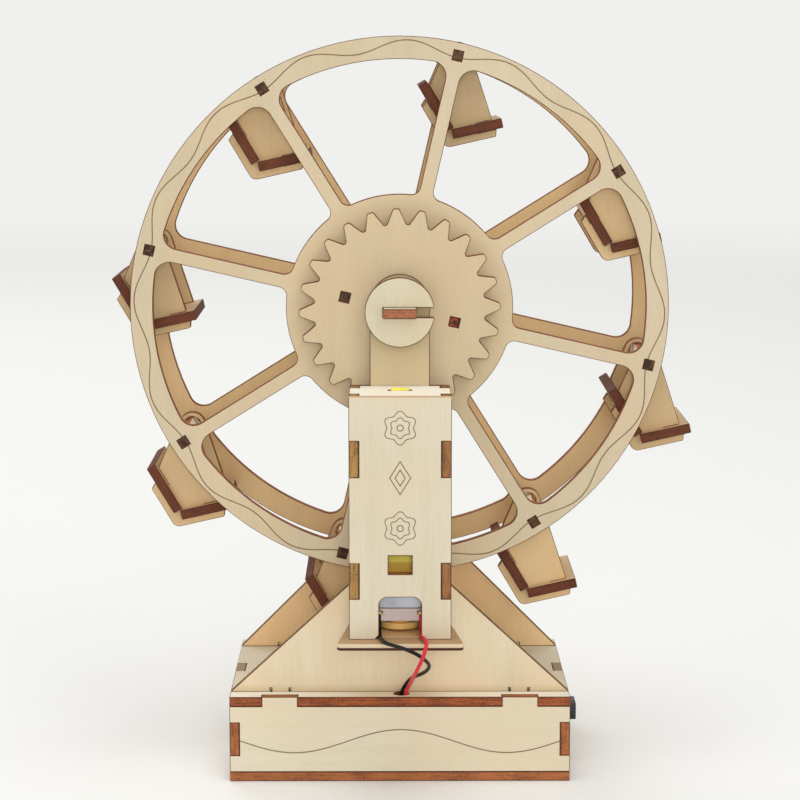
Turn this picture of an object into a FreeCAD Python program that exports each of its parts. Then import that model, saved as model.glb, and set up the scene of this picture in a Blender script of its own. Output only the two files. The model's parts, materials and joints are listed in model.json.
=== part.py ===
"""A table-top ferris wheel cut from plywood sheet and turned by a small gear motor.

Millimetres. X runs to the right, Y to the back and Z up. The origin is the middle of the
underside of the base box. The wheel turns about a line along Y.
"""

import FreeCAD, Part
import math
import os
import Sketcher

Vector = FreeCAD.Vector
ALONG_Y = Vector(0, 1, 0)
CUT_OVERRUN = 0.5
ARC_SHARE = 0.45

doc = FreeCAD.newDocument("FerrisWheel")
sheet = doc.addObject("Spreadsheet::Sheet", "Sizes")
subparts = {}


class Size:
    """A cell of the sheet, or a sum worked out from cells, kept as an expression."""

    def __init__(self, text):
        self.text = text

    @property
    def value(self):
        return float(sheet.evalExpression(self.text))

    def __add__(self, other):
        return Size(f"({self.text} + {text_of(other)})")

    def __radd__(self, other):
        return Size(f"({text_of(other)} + {self.text})")

    def __sub__(self, other):
        return Size(f"({self.text} - {text_of(other)})")

    def __rsub__(self, other):
        return Size(f"({text_of(other)} - {self.text})")

    def __mul__(self, other):
        return Size(f"({self.text} * {text_of(other)})")

    __rmul__ = __mul__

    def __truediv__(self, other):
        return Size(f"({self.text} / {text_of(other)})")

    def __rtruediv__(self, other):
        return Size(f"({text_of(other)} / {self.text})")

    def __neg__(self):
        return Size(f"(0 - {self.text})")


def text_of(number):
    return number.text if isinstance(number, Size) else str(number)


def number_of(size_or_number):
    return size_or_number.value if isinstance(size_or_number, Size) else size_or_number


def sine(angle):
    return Size(f"sin({text_of(angle)} * 1deg)")


def cosine(angle):
    return Size(f"cos({text_of(angle)} * 1deg)")


def tangent(angle):
    return Size(f"tan({text_of(angle)} * 1deg)")


def remainder(size, step):
    return Size(f"mod({text_of(size)}; {text_of(step)})")


def larger(one, other):
    return Size(f"max({text_of(one)}; {text_of(other)})")


def root_of_squares(one, other):
    return Size(f"sqrt({text_of(one * one + other * other)})")


def size(alias, number, note):
    """Writes one driving dimension to the sheet and returns it."""
    row = str(size.rows)
    size.rows += 1
    sheet.set("A" + row, alias)
    sheet.set("B" + row, str(number))
    sheet.set("C" + row, note)
    sheet.setAlias("B" + row, alias)
    return Size("Sizes." + alias)


size.rows = 1

# Plywood and its fits
ply = size("ply", 3.0, "thickness of the plywood sheet")
slot_fit = size("slot_fit", 0.03, "play each side of a tab in its slot")
running_fit = size("running_fit", 0.08, "radial play of a turning piece")
kerf = size("kerf", 0.5, "width of the saw relief beside a tab")
kerf_depth = size("kerf_depth", 1.2, "depth of the saw relief beside a tab")

# Base box
base_length = size("base_length", 105.0, "base box, left to right")
base_depth = size("base_depth", 76.0, "base box, front to back")
wall_height = size("wall_height", 20.7, "base walls between floor and lid")
lid_tab = size("lid_tab", 11.0, "length of a front or rear wall tab in the lid")
tab_place = size("tab_place", 37.0, "lid and frame tabs, out from the middle")
side_tab = size("side_tab", 10.0, "length of a side wall tab in lid and floor")
corner_tab = size("corner_tab", 10.3, "height of a side wall tab in the front wall")
wire_hole = size("wire_hole", 4.7, "diameter of the wire hole in the lid")
wire_hole_place = size("wire_hole_place", 0.5, "wire hole, right of the middle")

# Frames
frame_spacing = size("frame_spacing", 60.0, "between the middles of the two frames")
foot_tab = size("foot_tab", 5.4, "length of a frame tab in the lid")
front_slope = size("front_slope", 42.6, "slope of the front frame's sides, degrees")
rear_slope = size("rear_slope", 45.0, "slope of the rear frame's sides, degrees")
upright_width = size("upright_width", 18.2, "narrow top of both frames")
axle_height = size("axle_height", 145.2, "wheel axis above the table")
upright_rise = size("upright_rise", 2.2, "middle of the rounded end above the axis")

# Motor tower
tower_width = size("tower_width", 30.6, "tower and the column behind it")
tower_depth = size("tower_depth", 25.0, "tower front face from the frame's face")
roof_room = size("roof_room", 1.3, "roof above the gearbox")
foot_room = size("foot_room", 1.4, "motor's bearing boss above the shelf")
tower_tab = size("tower_tab", 10.8, "height of a tower side tab")
lower_tab = size("lower_tab", 17.8, "middle of the lower side tab above the shelf")
upper_tab = size("upper_tab", 54.6, "middle of the upper side tab above the shelf")
roof_tab = size("roof_tab", 12.0, "length of the roof's side tabs, front to back")
roof_slot = size("roof_slot", 7.0, "slot in the roof, left to right")
arch_width = size("arch_width", 12.7, "motor window, left to right")
arch_height = size("arch_height", 12.9, "motor window above the shelf")
arch_round = size("arch_round", 2.6, "upper corners of the motor window")
arch_flare = size("arch_flare", 1.3, "slanted lower corners of the motor window")
peep_width = size("peep_width", 7.1, "small window, left to right")
peep_height = size("peep_height", 5.7, "small window, bottom to top")
peep_place = size("peep_place", 22.7, "middle of the small window above the shelf")
shelf_thickness = size("shelf_thickness", 2.0, "thickness of the shelf's thinner sheet")
shelf_width = size("shelf_width", 38.0, "front edge of the shelf")
shelf_overhang = size("shelf_overhang", 6.0, "shelf in front of the tower")
shelf_tab = size("shelf_tab", 12.0, "shelf tab in the front frame")
shelf_round = size("shelf_round", 1.4, "front corners of the shelf")

# Wheel
ring_outer = size("ring_outer", 83.0, "outer radius of a wheel ring")
ring_inner = size("ring_inner", 76.0, "inner radius of a wheel ring")
joint_radius = size("joint_radius", 79.0, "crossbars from the wheel axis")
hub_radius = size("hub_radius", 35.0, "radius of the front ring's hub")
rear_hub_radius = size("rear_hub_radius", 30.0, "radius of the rear ring's hub")
spoke_count = size("spoke_count", 8, "spokes, crossbars and gondolas")
spoke_width = size("spoke_width", 4.2, "width of a spoke")
rim_fillet = size("rim_fillet", 4.6, "rounding between spoke and rim")
hub_fillet = size("hub_fillet", 2.8, "rounding between spoke and hub")
ring_pitch = size("ring_pitch", 43.0, "between the middles of the two rings")
front_ring_place = size("front_ring_place", 11.0, "front ring behind the front frame")
wheel_phase = size("wheel_phase", 13.0, "first spoke clockwise from upright, degrees")
crossbar_width = size("crossbar_width", 4.4, "crossbar between its shoulders")
axle_width = size("axle_width", 10.1, "flat axle strip, left to right")
axle_end = size("axle_end", 4.5, "axle strip past the face of a cap")
cap_radius = size("cap_radius", 10.6, "radius of an axle cap")

# Gears
gear_teeth = size("gear_teeth", 24, "teeth of the wheel gear")
gear_place = size("gear_place", 5.0, "wheel gear behind the front frame")
gear_root = size("gear_root", 26.2, "radius at the foot of the wheel gear's teeth")
gear_tip = size("gear_tip", 30.9, "radius at the tip of the wheel gear's teeth")
gear_tooth_foot = size("gear_tooth_foot", 5.8, "width of a wheel gear tooth at its foot")
gear_tooth_tip = size("gear_tooth_tip", 1.9, "width of a wheel gear tooth at its tip")
gear_tip_round = size("gear_tip_round", 0.8, "rounding of the wheel gear's tips")
gear_foot_round = size("gear_foot_round", 0.7, "rounding between the wheel gear's teeth")
peg_radius = size("peg_radius", 17.2, "gear pegs from the wheel axis")
peg_shoulder = size("peg_shoulder", 5.4, "gear peg between gear and ring")
pinion_teeth = size("pinion_teeth", 8, "teeth of the drive pinion")
pinion_root = size("pinion_root", 7.1, "radius at the foot of the pinion's teeth")
pinion_tip = size("pinion_tip", 11.6, "radius at the tip of the pinion's teeth")
pinion_tooth_foot = size("pinion_tooth_foot", 2.9, "width of a pinion tooth at its foot")
pinion_tooth_tip = size("pinion_tooth_tip", 0.9, "width of a pinion tooth at its tip")
pinion_tip_round = size("pinion_tip_round", 0.4, "rounding of the pinion's tips")
pinion_foot_round = size("pinion_foot_round", 0.4, "rounding between the pinion's teeth")
gear_distance = size("gear_distance", 38.4, "motor shaft below the wheel axis")

# Gear motor
box_width = size("box_width", 22.5, "gearbox, left to right")
box_depth = size("box_depth", 18.8, "gearbox, front to back")
box_above = size("box_above", 11.3, "gearbox above its shaft")
box_below = size("box_below", 25.7, "gearbox below its shaft")
box_wall = size("box_wall", 1.4, "gearbox wall")
neck_length = size("neck_length", 13.0, "gearbox sleeve round the motor can")
box_tab = size("box_tab", 5.0, "mounting tab above the gearbox")
box_tab_width = size("box_tab_width", 5.4, "mounting tab, left to right")
box_tab_thickness = size("box_tab_thickness", 2.5, "mounting tab, front to back")
nub_radius = size("nub_radius", 2.0, "locating nub on the gearbox")
nub_length = size("nub_length", 2.0, "locating nub into the frame")
nub_drop = size("nub_drop", 11.0, "locating nub below the shaft")
shaft_radius = size("shaft_radius", 2.7, "output shaft")
shaft_flat = size("shaft_flat", 3.7, "output shaft across its two flats")
shaft_length = size("shaft_length", 9.0, "output shaft past the gearbox")
shaft_hole = size("shaft_hole", 3.5, "radius of the shaft hole in the frame")
can_width = size("can_width", 20.0, "motor can, left to right")
can_depth = size("can_depth", 15.0, "motor can, front to back")
can_length = size("can_length", 25.7, "motor can with the part in its sleeve")
end_cap_length = size("end_cap_length", 4.0, "plastic end of the motor")
end_cap_inset = size("end_cap_inset", 0.7, "end cap inside the can's outline")
boss_radius = size("boss_radius", 4.6, "bearing boss of the motor")
boss_length = size("boss_length", 2.2, "bearing boss of the motor")
strap_width = size("strap_width", 8.0, "motor strap, front to back")
strap_thickness = size("strap_thickness", 0.9, "motor strap")
terminal_place = size("terminal_place", 6.3, "motor terminals from the middle")
terminal_width = size("terminal_width", 2.4, "motor terminals")
terminal_reach = size("terminal_reach", 2.6, "motor terminals in front of the end cap")
terminal_thickness = size("terminal_thickness", 0.5, "motor terminals")

# Battery holder and switch
holder_height = size("holder_height", 15.0, "battery holder, bottom to top")
holder_wall = size("holder_wall", 1.2, "battery holder wall")
holder_place_x = size("holder_place_x", -13.0, "battery holder, from the middle")
holder_place_y = size("holder_place_y", 16.0, "battery holder, from the middle")
cell_radius = size("cell_radius", 7.1, "battery cell")
cell_length = size("cell_length", 50.5, "battery cell")
cell_button = size("cell_button", 1.0, "raised button on a cell's end")
cell_end_room = size("cell_end_room", 1.55, "between a cell's end and its contact plate")
cell_side_room = size("cell_side_room", 0.1, "between a cell and the holder's long wall")
contact_thickness = size("contact_thickness", 0.5, "battery contact plates")
switch_place = size("switch_place", -13.0, "switch, from the middle of the right wall")
switch_height = size("switch_height", 16.6, "middle of the switch above the table")
switch_length = size("switch_length", 10.6, "switch flange, front to back")
switch_width = size("switch_width", 6.7, "switch flange, bottom to top")
switch_flange = size("switch_flange", 1.2, "thickness of the switch flange")
switch_depth = size("switch_depth", 8.5, "switch housing behind its flange")
switch_lip = size("switch_lip", 0.6, "flange past the housing all round")
rocker_length = size("rocker_length", 7.4, "switch rocker, front to back")
rocker_width = size("rocker_width", 4.2, "switch rocker, bottom to top")
rocker_height = size("rocker_height", 2.6, "ends of the rocker past its pivot")
rocker_dip = size("rocker_dip", 0.7, "middle of the rocker below its ends")
rocker_tilt = size("rocker_tilt", 8.0, "rocker away from level at rest, degrees")
rocker_pin = size("rocker_pin", 0.6, "radius of the rocker's pins")
lead_length = size("lead_length", 3.0, "solder tabs of the switch")

# Gondolas, with the pivot at the origin and the seat level
side_spacing = size("side_spacing", 28.8, "between the middles of a gondola's sides")
bench_width = size("bench_width", 36.8, "seat and back plates, front to back")
head_radius = size("head_radius", 4.2, "rounded top of a gondola side")
seat_drop = size("seat_drop", 23.0, "middle of the seat below the pivot")
seat_behind = size("seat_behind", 6.7, "seat behind the pivot")
seat_ahead = size("seat_ahead", 9.0, "seat ahead of the pivot")
back_foot = size("back_foot", 7.3, "foot of the back plate behind the pivot")
back_length = size("back_length", 16.4, "back plate along its slope")
back_lean = size("back_lean", 18.0, "back plate from upright, degrees")
side_front_low = size("side_front_low", 6.2, "front edge of a side at the seat")
side_shoulder = size("side_shoulder", 14.6, "side beside the back plate, from its foot")
back_strip_rise = size("back_strip_rise", 11.2, "strip behind the back, from its foot")
back_strip = size("back_strip", 2.3, "width of the strip behind the back")
seat_strip = size("seat_strip", 2.3, "height of the strip under the seat")
side_corner = size("side_corner", 2.4, "rounded lower corner of a side")

# Wires
wire_diameter = size("wire_diameter", 1.15, "insulated motor wire")

doc.recompute()

# Levels and faces that several pieces share
lid_low = ply + wall_height
lid_top = lid_low + ply
half_length = base_length / 2
half_depth = base_depth / 2
front_frame_y = -(frame_spacing / 2)
rear_frame_y = frame_spacing / 2
frame_face_y = front_frame_y - ply / 2
half_tower = tower_width / 2
tower_face_y = frame_face_y - tower_depth
front_ring_y = front_frame_y + front_ring_place
rear_ring_y = front_ring_y + ring_pitch
wheel_middle_y = front_ring_y + ring_pitch / 2
gear_y = front_frame_y + gear_place
hub_hole = root_of_squares(axle_width / 2, ply / 2) + running_fit
shaft_z = axle_height - gear_distance
box_low = shaft_z - box_below
can_low = box_low + box_wall - can_length
end_cap_low = can_low - end_cap_length
tower_foot = end_cap_low - boss_length - foot_room
roof_low = shaft_z + box_above + roof_room
tower_top_z = roof_low + ply
holder_length = cell_length + cell_button + 2 * (cell_end_room + contact_thickness + holder_wall)
holder_depth = 4 * cell_radius + 2 * (cell_side_room + holder_wall)
corner_low = ply + (wall_height - corner_tab) / 2


def bind(thing, name, amount):
    thing.setExpression(name, text_of(amount))


def about(middle, width):
    """The two limits of a width set about its middle."""
    return middle - width / 2, middle + width / 2


def block(x, y, z):
    """A box between three pairs of limits."""
    box = doc.addObject("Part::Box", "Block")
    for side, way, limits in (("Length", "x", x), ("Width", "y", y), ("Height", "z", z)):
        bind(box, side, limits[1] - limits[0])
        bind(box, "Placement.Base." + way, limits[0])
    return box


def slot(x, y, z):
    """The space for a tab between the same limits, with its play all round."""
    return block(*((low - slot_fit, high + slot_fit) for low, high in (x, y, z)))


def rod(radius, x, y, z):
    """A round bar that runs along the one direction given as a pair of limits."""
    bar = doc.addObject("Part::Cylinder", "Rod")
    bind(bar, "Radius", radius)
    turns = {"x": (ALONG_Y, 90), "y": (Vector(1, 0, 0), -90), "z": (Vector(0, 0, 1), 0)}
    for way, place in (("x", x), ("y", y), ("z", z)):
        if isinstance(place, tuple):
            bar.Placement = FreeCAD.Placement(Vector(), FreeCAD.Rotation(*turns[way]))
            bind(bar, "Height", place[1] - place[0])
            place = place[0]
        bind(bar, "Placement.Base." + way, place)
    return bar


def fuse(*pieces):
    joined = doc.addObject("Part::MultiFuse", "Joined")
    joined.Shapes = list(pieces)
    joined.Refine = True
    return joined


def cut(base, *tools):
    rest = doc.addObject("Part::Cut", "Rest")
    rest.Base = base
    rest.Tool = tools[0] if len(tools) == 1 else fuse(*tools)
    rest.Refine = True
    return rest


def common(one, other):
    shared = doc.addObject("Part::Common", "Shared")
    shared.Base = one
    shared.Tool = other
    return shared


def together(*pieces):
    """Separate solids that share one node."""
    group = doc.addObject("Part::Compound", "Group")
    group.Links = list(pieces)
    return group


def turned(piece, angle, x=0, y=0, z=0):
    """The piece turned about the Y direction, then moved."""
    moved = together(piece)
    moved.Placement = FreeCAD.Placement(Vector(), FreeCAD.Rotation(ALONG_Y, 1))
    bind(moved, "Placement.Rotation.Angle", Size(text_of(angle)) * Size("1deg"))
    for way, place in (("x", x), ("y", y), ("z", z)):
        bind(moved, "Placement.Base." + way, place)
    return moved


def rounded(piece, radius, wanted):
    """The piece with its straight edges rounded where wanted says so of both ends."""
    smooth = doc.addObject("Part::Fillet", "Rounded")
    doc.recompute()
    chosen = []
    for index, edge in enumerate(piece.Shape.Edges, start=1):
        if all(wanted(vertex.Point) for vertex in edge.Vertexes) and len(edge.Vertexes) == 2:
            chosen.append((index, number_of(radius), number_of(radius)))
    smooth.Base = piece
    smooth.Edges = chosen
    return smooth


def subpart(label, piece):
    piece.Label = label
    subparts[label] = piece
    return piece


def new_body():
    return doc.addObject("PartDesign::Body", "Body")


def sketch_on(body, role):
    sketch = body.newObject("Sketcher::SketchObject", "Outline")
    plane = next(item for item in body.Origin.OriginFeatures if item.Role == role)
    sketch.AttachmentSupport = (plane, [""])
    sketch.MapMode = "FlatFace"
    return sketch


def tie(sketch, kind, element, place, amount):
    """Ties one point of the sketch to the sheet, measured from the sketch's origin."""
    start = number_of(amount)
    row = sketch.addConstraint(Sketcher.Constraint(kind, -1, 1, element, place, start))
    bind(sketch, f"Constraints[{row}]", amount)


def draw_polygon(sketch, corners):
    first = sketch.GeometryCount
    count = len(corners)
    points = [Vector(number_of(x), number_of(y), 0) for x, y in corners]
    for index in range(count):
        line = Part.LineSegment(points[index], points[(index + 1) % count])
        sketch.addGeometry(line, False)
    for index, (x, y) in enumerate(corners):
        following = first + (index + 1) % count
        sketch.addConstraint(Sketcher.Constraint("Coincident", first + index, 2, following, 1))
        tie(sketch, "DistanceX", first + index, 1, x)
        tie(sketch, "DistanceY", first + index, 1, y)


def draw_rectangle(sketch, x, y):
    draw_polygon(sketch, [(x[0], y[0]), (x[1], y[0]), (x[1], y[1]), (x[0], y[1])])


def draw_circle(sketch, radius, x=0, y=0):
    middle = Vector(number_of(x), number_of(y), 0)
    sketch.addGeometry(Part.Circle(middle, Vector(0, 0, 1), number_of(radius)), False)
    element = sketch.GeometryCount - 1
    row = sketch.addConstraint(Sketcher.Constraint("Radius", element, number_of(radius)))
    bind(sketch, f"Constraints[{row}]", radius)
    tie(sketch, "DistanceX", element, 3, x)
    tie(sketch, "DistanceY", element, 3, y)


def pad(body, sketch, thickness):
    feature = body.newObject("PartDesign::Pad", "Pad")
    feature.Profile = sketch
    feature.SideType = "Symmetric"
    bind(feature, "Length", thickness)
    return feature


def pocket(body, sketch, thickness):
    feature = body.newObject("PartDesign::Pocket", "Pocket")
    feature.Profile = sketch
    feature.SideType = "Symmetric"
    bind(feature, "Length", thickness + 2 * CUT_OVERRUN)
    return feature


def repeat_round(body, feature, count):
    """Repeats a feature in a full circle about the body's own middle."""
    pattern = body.newObject("PartDesign::PolarPattern", "Pattern")
    pattern.Originals = [feature]
    pattern.Axis = (feature.Profile[0], ["N_Axis"])
    pattern.Angle = 360
    bind(pattern, "Occurrences", count)
    body.Tip = pattern
    return pattern


def fillet_at_radius(body, feature, distance, radius):
    """Rounds the edges across the sheet that lie at one distance from the middle."""
    doc.recompute()
    names = []
    for index, edge in enumerate(feature.Shape.Edges, start=1):
        ends = [vertex.Point for vertex in edge.Vertexes]
        flat = len(ends) == 2 and math.hypot(ends[0].x - ends[1].x, ends[0].z - ends[1].z) < 1e-4
        if flat and abs(math.hypot(ends[0].x, ends[0].z) - number_of(distance)) < 1e-3:
            names.append(f"Edge{index}")
    rounding = body.newObject("PartDesign::Fillet", "Fillet")
    rounding.Base = (feature, names)
    bind(rounding, "Radius", radius)
    return rounding


def place_on_wheel(body, y, angle=wheel_phase):
    """Sets a body that was drawn about the wheel axis on that axis."""
    body.Placement = FreeCAD.Placement(Vector(), FreeCAD.Rotation(ALONG_Y, 1))
    bind(body, "Placement.Rotation.Angle", angle * Size("1deg"))
    bind(body, "Placement.Base.y", y)
    bind(body, "Placement.Base.z", axle_height)
    return body


def both_sides(make, *numbers):
    return [make(side, *numbers) for side in (-1, 1)]


def lid_tab_limits(side, sign, z):
    """The span of one long wall's tab in the lid."""
    y = (-half_depth, -half_depth + ply) if sign < 0 else (half_depth - ply, half_depth)
    return about(side * tab_place, lid_tab), y, z


def base_floor():
    slab = block((-half_length, half_length), (-half_depth, half_depth), (0, ply))
    tabs = both_sides(lambda side: slot(*side_wall_tab(side, (0, ply))))
    return subpart("base_bottom", cut(slab, *tabs))


def side_wall_x(side):
    return (-half_length, -half_length + ply) if side < 0 else (half_length - ply, half_length)


def side_wall_tab(side, z):
    return side_wall_x(side), about(0 * side_tab, side_tab), z


def corner_tab_limits(side, sign):
    y = (-half_depth, -half_depth + ply) if sign < 0 else (half_depth - ply, half_depth)
    return side_wall_x(side), y, (corner_low, corner_low + corner_tab)


def long_wall(label, sign):
    y = (-half_depth, -half_depth + ply) if sign < 0 else (half_depth - ply, half_depth)
    panel = block((-half_length, half_length), y, (ply, lid_low))
    tabs = both_sides(lambda side: block(*lid_tab_limits(side, sign, (lid_low, lid_top))))
    notches = both_sides(lambda side: slot(*corner_tab_limits(side, sign)))
    return subpart(label, cut(fuse(panel, *tabs), *notches))


def side_wall(side):
    inner_y = (-half_depth + ply, half_depth - ply)
    panel = block(side_wall_x(side), inner_y, (ply, lid_low))
    tabs = [block(*corner_tab_limits(side, sign)) for sign in (-1, 1)]
    tabs.append(block(*side_wall_tab(side, (lid_low, lid_top))))
    tabs.append(block(*side_wall_tab(side, (0, ply))))
    return fuse(panel, *tabs)


def foot_tab_limits(side, y, z):
    return about(side * tab_place, foot_tab), about(y, ply), z


def base_lid():
    slab = block((-half_length, half_length), (-half_depth, half_depth), (lid_low, lid_top))
    depth = (lid_low, lid_top)
    holes = [slot(*lid_tab_limits(side, sign, depth)) for side in (-1, 1) for sign in (-1, 1)]
    holes += both_sides(lambda side: slot(*side_wall_tab(side, depth)))
    for y in (front_frame_y, rear_frame_y):
        holes += both_sides(lambda side: slot(*foot_tab_limits(side, y, depth)))
    through = (lid_low - CUT_OVERRUN, lid_top + CUT_OVERRUN)
    hole_y = frame_face_y - wire_hole / 2
    holes.append(rod(wire_hole / 2, wire_hole_place, hole_y, through))
    return subpart("base_top", cut(slab, *holes))


def base_box():
    base_floor()
    long_wall("base_front", -1)
    long_wall("base_rear", 1)
    subpart("base_left", side_wall(-1))
    reach = (half_length - ply - CUT_OVERRUN, half_length + CUT_OVERRUN)
    housing_y = about(switch_place, switch_length - 2 * switch_lip)
    housing_z = about(switch_height, switch_width - 2 * switch_lip)
    subpart("base_right", cut(side_wall(1), slot(reach, housing_y, housing_z)))
    base_lid()


def tower_tab_limits(side, middle, y):
    x = (-half_tower, -half_tower + ply) if side < 0 else (half_tower - ply, half_tower)
    return x, y, about(tower_foot + middle, tower_tab)


def frame_body(corners, y):
    """One upright frame: its outline, the rounded end, the feet and the saw reliefs."""
    body = new_body()
    outline = sketch_on(body, "XZ_Plane")
    draw_polygon(outline, corners)
    pad(body, outline, ply)
    bind(body, "Placement.Base.y", y)
    end = rod(upright_width / 2, 0, about(y, ply), axle_height + upright_rise)
    feet = both_sides(lambda side: block(*foot_tab_limits(side, y, (lid_low, lid_top))))
    panel = fuse(body, end, *feet)
    reliefs = []
    for side in (-1, 1):
        for edge in (-1, 1):
            middle = side * tab_place + edge * (foot_tab + kerf) / 2
            cut_y = about(y, ply + 2 * CUT_OVERRUN)
            reliefs.append(block(about(middle, kerf), cut_y, (lid_top, lid_top + kerf_depth)))
    axle_slot = slot(about(0 * ply, axle_width), about(y, ply), about(axle_height, ply))
    return panel, reliefs + [axle_slot]


def frame_corners(half_column, shoulder_z, slope):
    """Half of a frame's outline, from the base up to the rounded end."""
    rise = (half_length - half_column) * tangent(slope)
    corners = [(half_length, lid_top), (half_column, lid_top + rise)]
    if shoulder_z is not None:
        corners += [(half_column, shoulder_z), (upright_width / 2, shoulder_z)]
    corners.append((upright_width / 2, axle_height + upright_rise))
    return corners + [(-x, z) for x, z in reversed(corners)]


def shelf_tab_limits(y):
    z = (tower_foot - shelf_thickness, tower_foot)
    return about(0 * ply, shelf_tab), y, z


def frames():
    panel, holes = frame_body(frame_corners(half_tower, tower_top_z, front_slope), front_frame_y)
    sheet_y = about(front_frame_y, ply)
    through = about(front_frame_y, ply + 2 * CUT_OVERRUN)
    for middle in (lower_tab, upper_tab):
        holes += both_sides(lambda side: slot(*tower_tab_limits(side, middle, sheet_y)))
    holes.append(slot(*shelf_tab_limits(sheet_y)))
    holes.append(rod(shaft_hole, 0, through, shaft_z))
    holes.append(rod(nub_radius + slot_fit, 0, through, shaft_z - nub_drop))
    subpart("front_frame", cut(panel, *holes))
    panel, holes = frame_body(frame_corners(upright_width / 2, None, rear_slope), rear_frame_y)
    subpart("rear_frame", cut(panel, *holes))


def roof_tab_limits(side):
    x = (-half_tower, -half_tower + ply) if side < 0 else (half_tower - ply, half_tower)
    middle_y = frame_face_y - (tower_depth - ply) / 2
    return x, about(middle_y, roof_tab), (roof_low, tower_top_z)


def arch_window():
    """The motor window: rounded above, and slanted outwards where it meets the shelf."""
    y = about(tower_face_y + ply / 2, ply + 2 * CUT_OVERRUN)
    top = tower_foot + arch_height
    opening = block(about(0 * ply, arch_width), y, (tower_foot - CUT_OVERRUN, top))
    low, high = number_of(top) - 1e-3, number_of(top) + 1e-3
    window = rounded(opening, arch_round, lambda point: low < point.z < high)
    keep = [edge for edge in window.Edges if along_y(opening.Shape.Edges[edge[0] - 1])]
    window.Edges = keep
    body = new_body()
    sketch = sketch_on(body, "XZ_Plane")
    inner = arch_width / 2
    foot = tower_foot - CUT_OVERRUN
    outer = inner + arch_flare + CUT_OVERRUN
    peak = tower_foot + arch_flare
    draw_polygon(sketch, [(-outer, foot), (outer, foot), (inner, peak), (-inner, peak)])
    pad(body, sketch, ply + 2 * CUT_OVERRUN)
    bind(body, "Placement.Base.y", tower_face_y + ply / 2)
    return fuse(window, body)


def along_y(edge):
    ends = [vertex.Point for vertex in edge.Vertexes]
    return len(ends) == 2 and abs(abs(ends[0].y - ends[1].y) - edge.Length) < 1e-6


def tower():
    sheet_y = (tower_face_y, tower_face_y + ply)
    frame_y = about(front_frame_y, ply)
    face = block((-half_tower, half_tower), sheet_y, (tower_foot, tower_top_z))
    holes = [arch_window()]
    for middle in (lower_tab, upper_tab):
        holes += both_sides(lambda side: slot(*tower_tab_limits(side, middle, sheet_y)))
    through = about(tower_face_y + ply / 2, ply + 2 * CUT_OVERRUN)
    peep_z = about(tower_foot + peep_place, peep_height)
    holes.append(block(about(0 * ply, peep_width), through, peep_z))
    subpart("tower_front", cut(face, *holes))
    for label, side in (("tower_left", -1), ("tower_right", 1)):
        x = roof_tab_limits(side)[0]
        panel = block(x, (sheet_y[1], frame_face_y), (tower_foot, tower_top_z))
        tabs = [block(*tower_tab_limits(side, middle, y))
                for middle in (lower_tab, upper_tab) for y in (sheet_y, frame_y)]
        subpart(label, cut(fuse(panel, *tabs), slot(*roof_tab_limits(side))))
    inner_x = (-half_tower + ply + slot_fit, half_tower - ply - slot_fit)
    roof_z = (roof_low, tower_top_z)
    roof = block(inner_x, (sheet_y[1], frame_face_y), roof_z)
    tabs = []
    for side in (-1, 1):
        x, y, z = roof_tab_limits(side)
        overlap = (x[0], x[1] + ply / 2) if side < 0 else (x[0] - ply / 2, x[1])
        tabs.append(block(overlap, y, z))
    tab_y = about(frame_face_y - box_depth / 2, box_tab_thickness)
    hole = slot(about(0 * ply, roof_slot), tab_y, roof_z)
    subpart("tower_top", cut(fuse(roof, *tabs), hole))
    shelf()


def shelf():
    """The shelf under the tower, which narrows towards the frame."""
    front_y = tower_face_y - shelf_overhang
    body = new_body()
    outline = sketch_on(body, "XY_Plane")
    half = shelf_width / 2
    draw_polygon(outline, [(-half, front_y), (half, front_y),
                           (half_tower, frame_face_y), (-half_tower, frame_face_y)])
    board = pad(body, outline, shelf_thickness)
    doc.recompute()
    corners = [f"Edge{index}" for index, edge in enumerate(board.Shape.Edges, start=1)
               if all(vertex.Point.y < number_of(front_y) + 1e-3 for vertex in edge.Vertexes)
               and abs(edge.Vertexes[0].Point.z - edge.Vertexes[-1].Point.z) > 1e-3]
    rounding = body.newObject("PartDesign::Fillet", "Fillet")
    rounding.Base = (board, corners)
    bind(rounding, "Radius", shelf_round)
    bind(body, "Placement.Base.z", tower_foot - shelf_thickness / 2)
    tab = block(*shelf_tab_limits(about(front_frame_y, ply)))
    subpart("tower_shelf", fuse(body, tab))


def axle_pieces():
    reach = frame_spacing / 2 + ply / 2 + ply + axle_end
    strip = block(about(0 * ply, axle_width), (-reach, reach), about(axle_height, ply))
    subpart("axle", strip)
    caps = []
    for side in (-1, 1):
        y = about(side * (frame_spacing / 2 + ply), ply)
        disc = rod(cap_radius, 0, y, axle_height)
        gap_x = (-axle_width / 2, cap_radius + ply)
        caps.append(cut(disc, slot(gap_x, y, about(axle_height, ply))))
    subpart("axle_caps", together(*caps))


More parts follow.
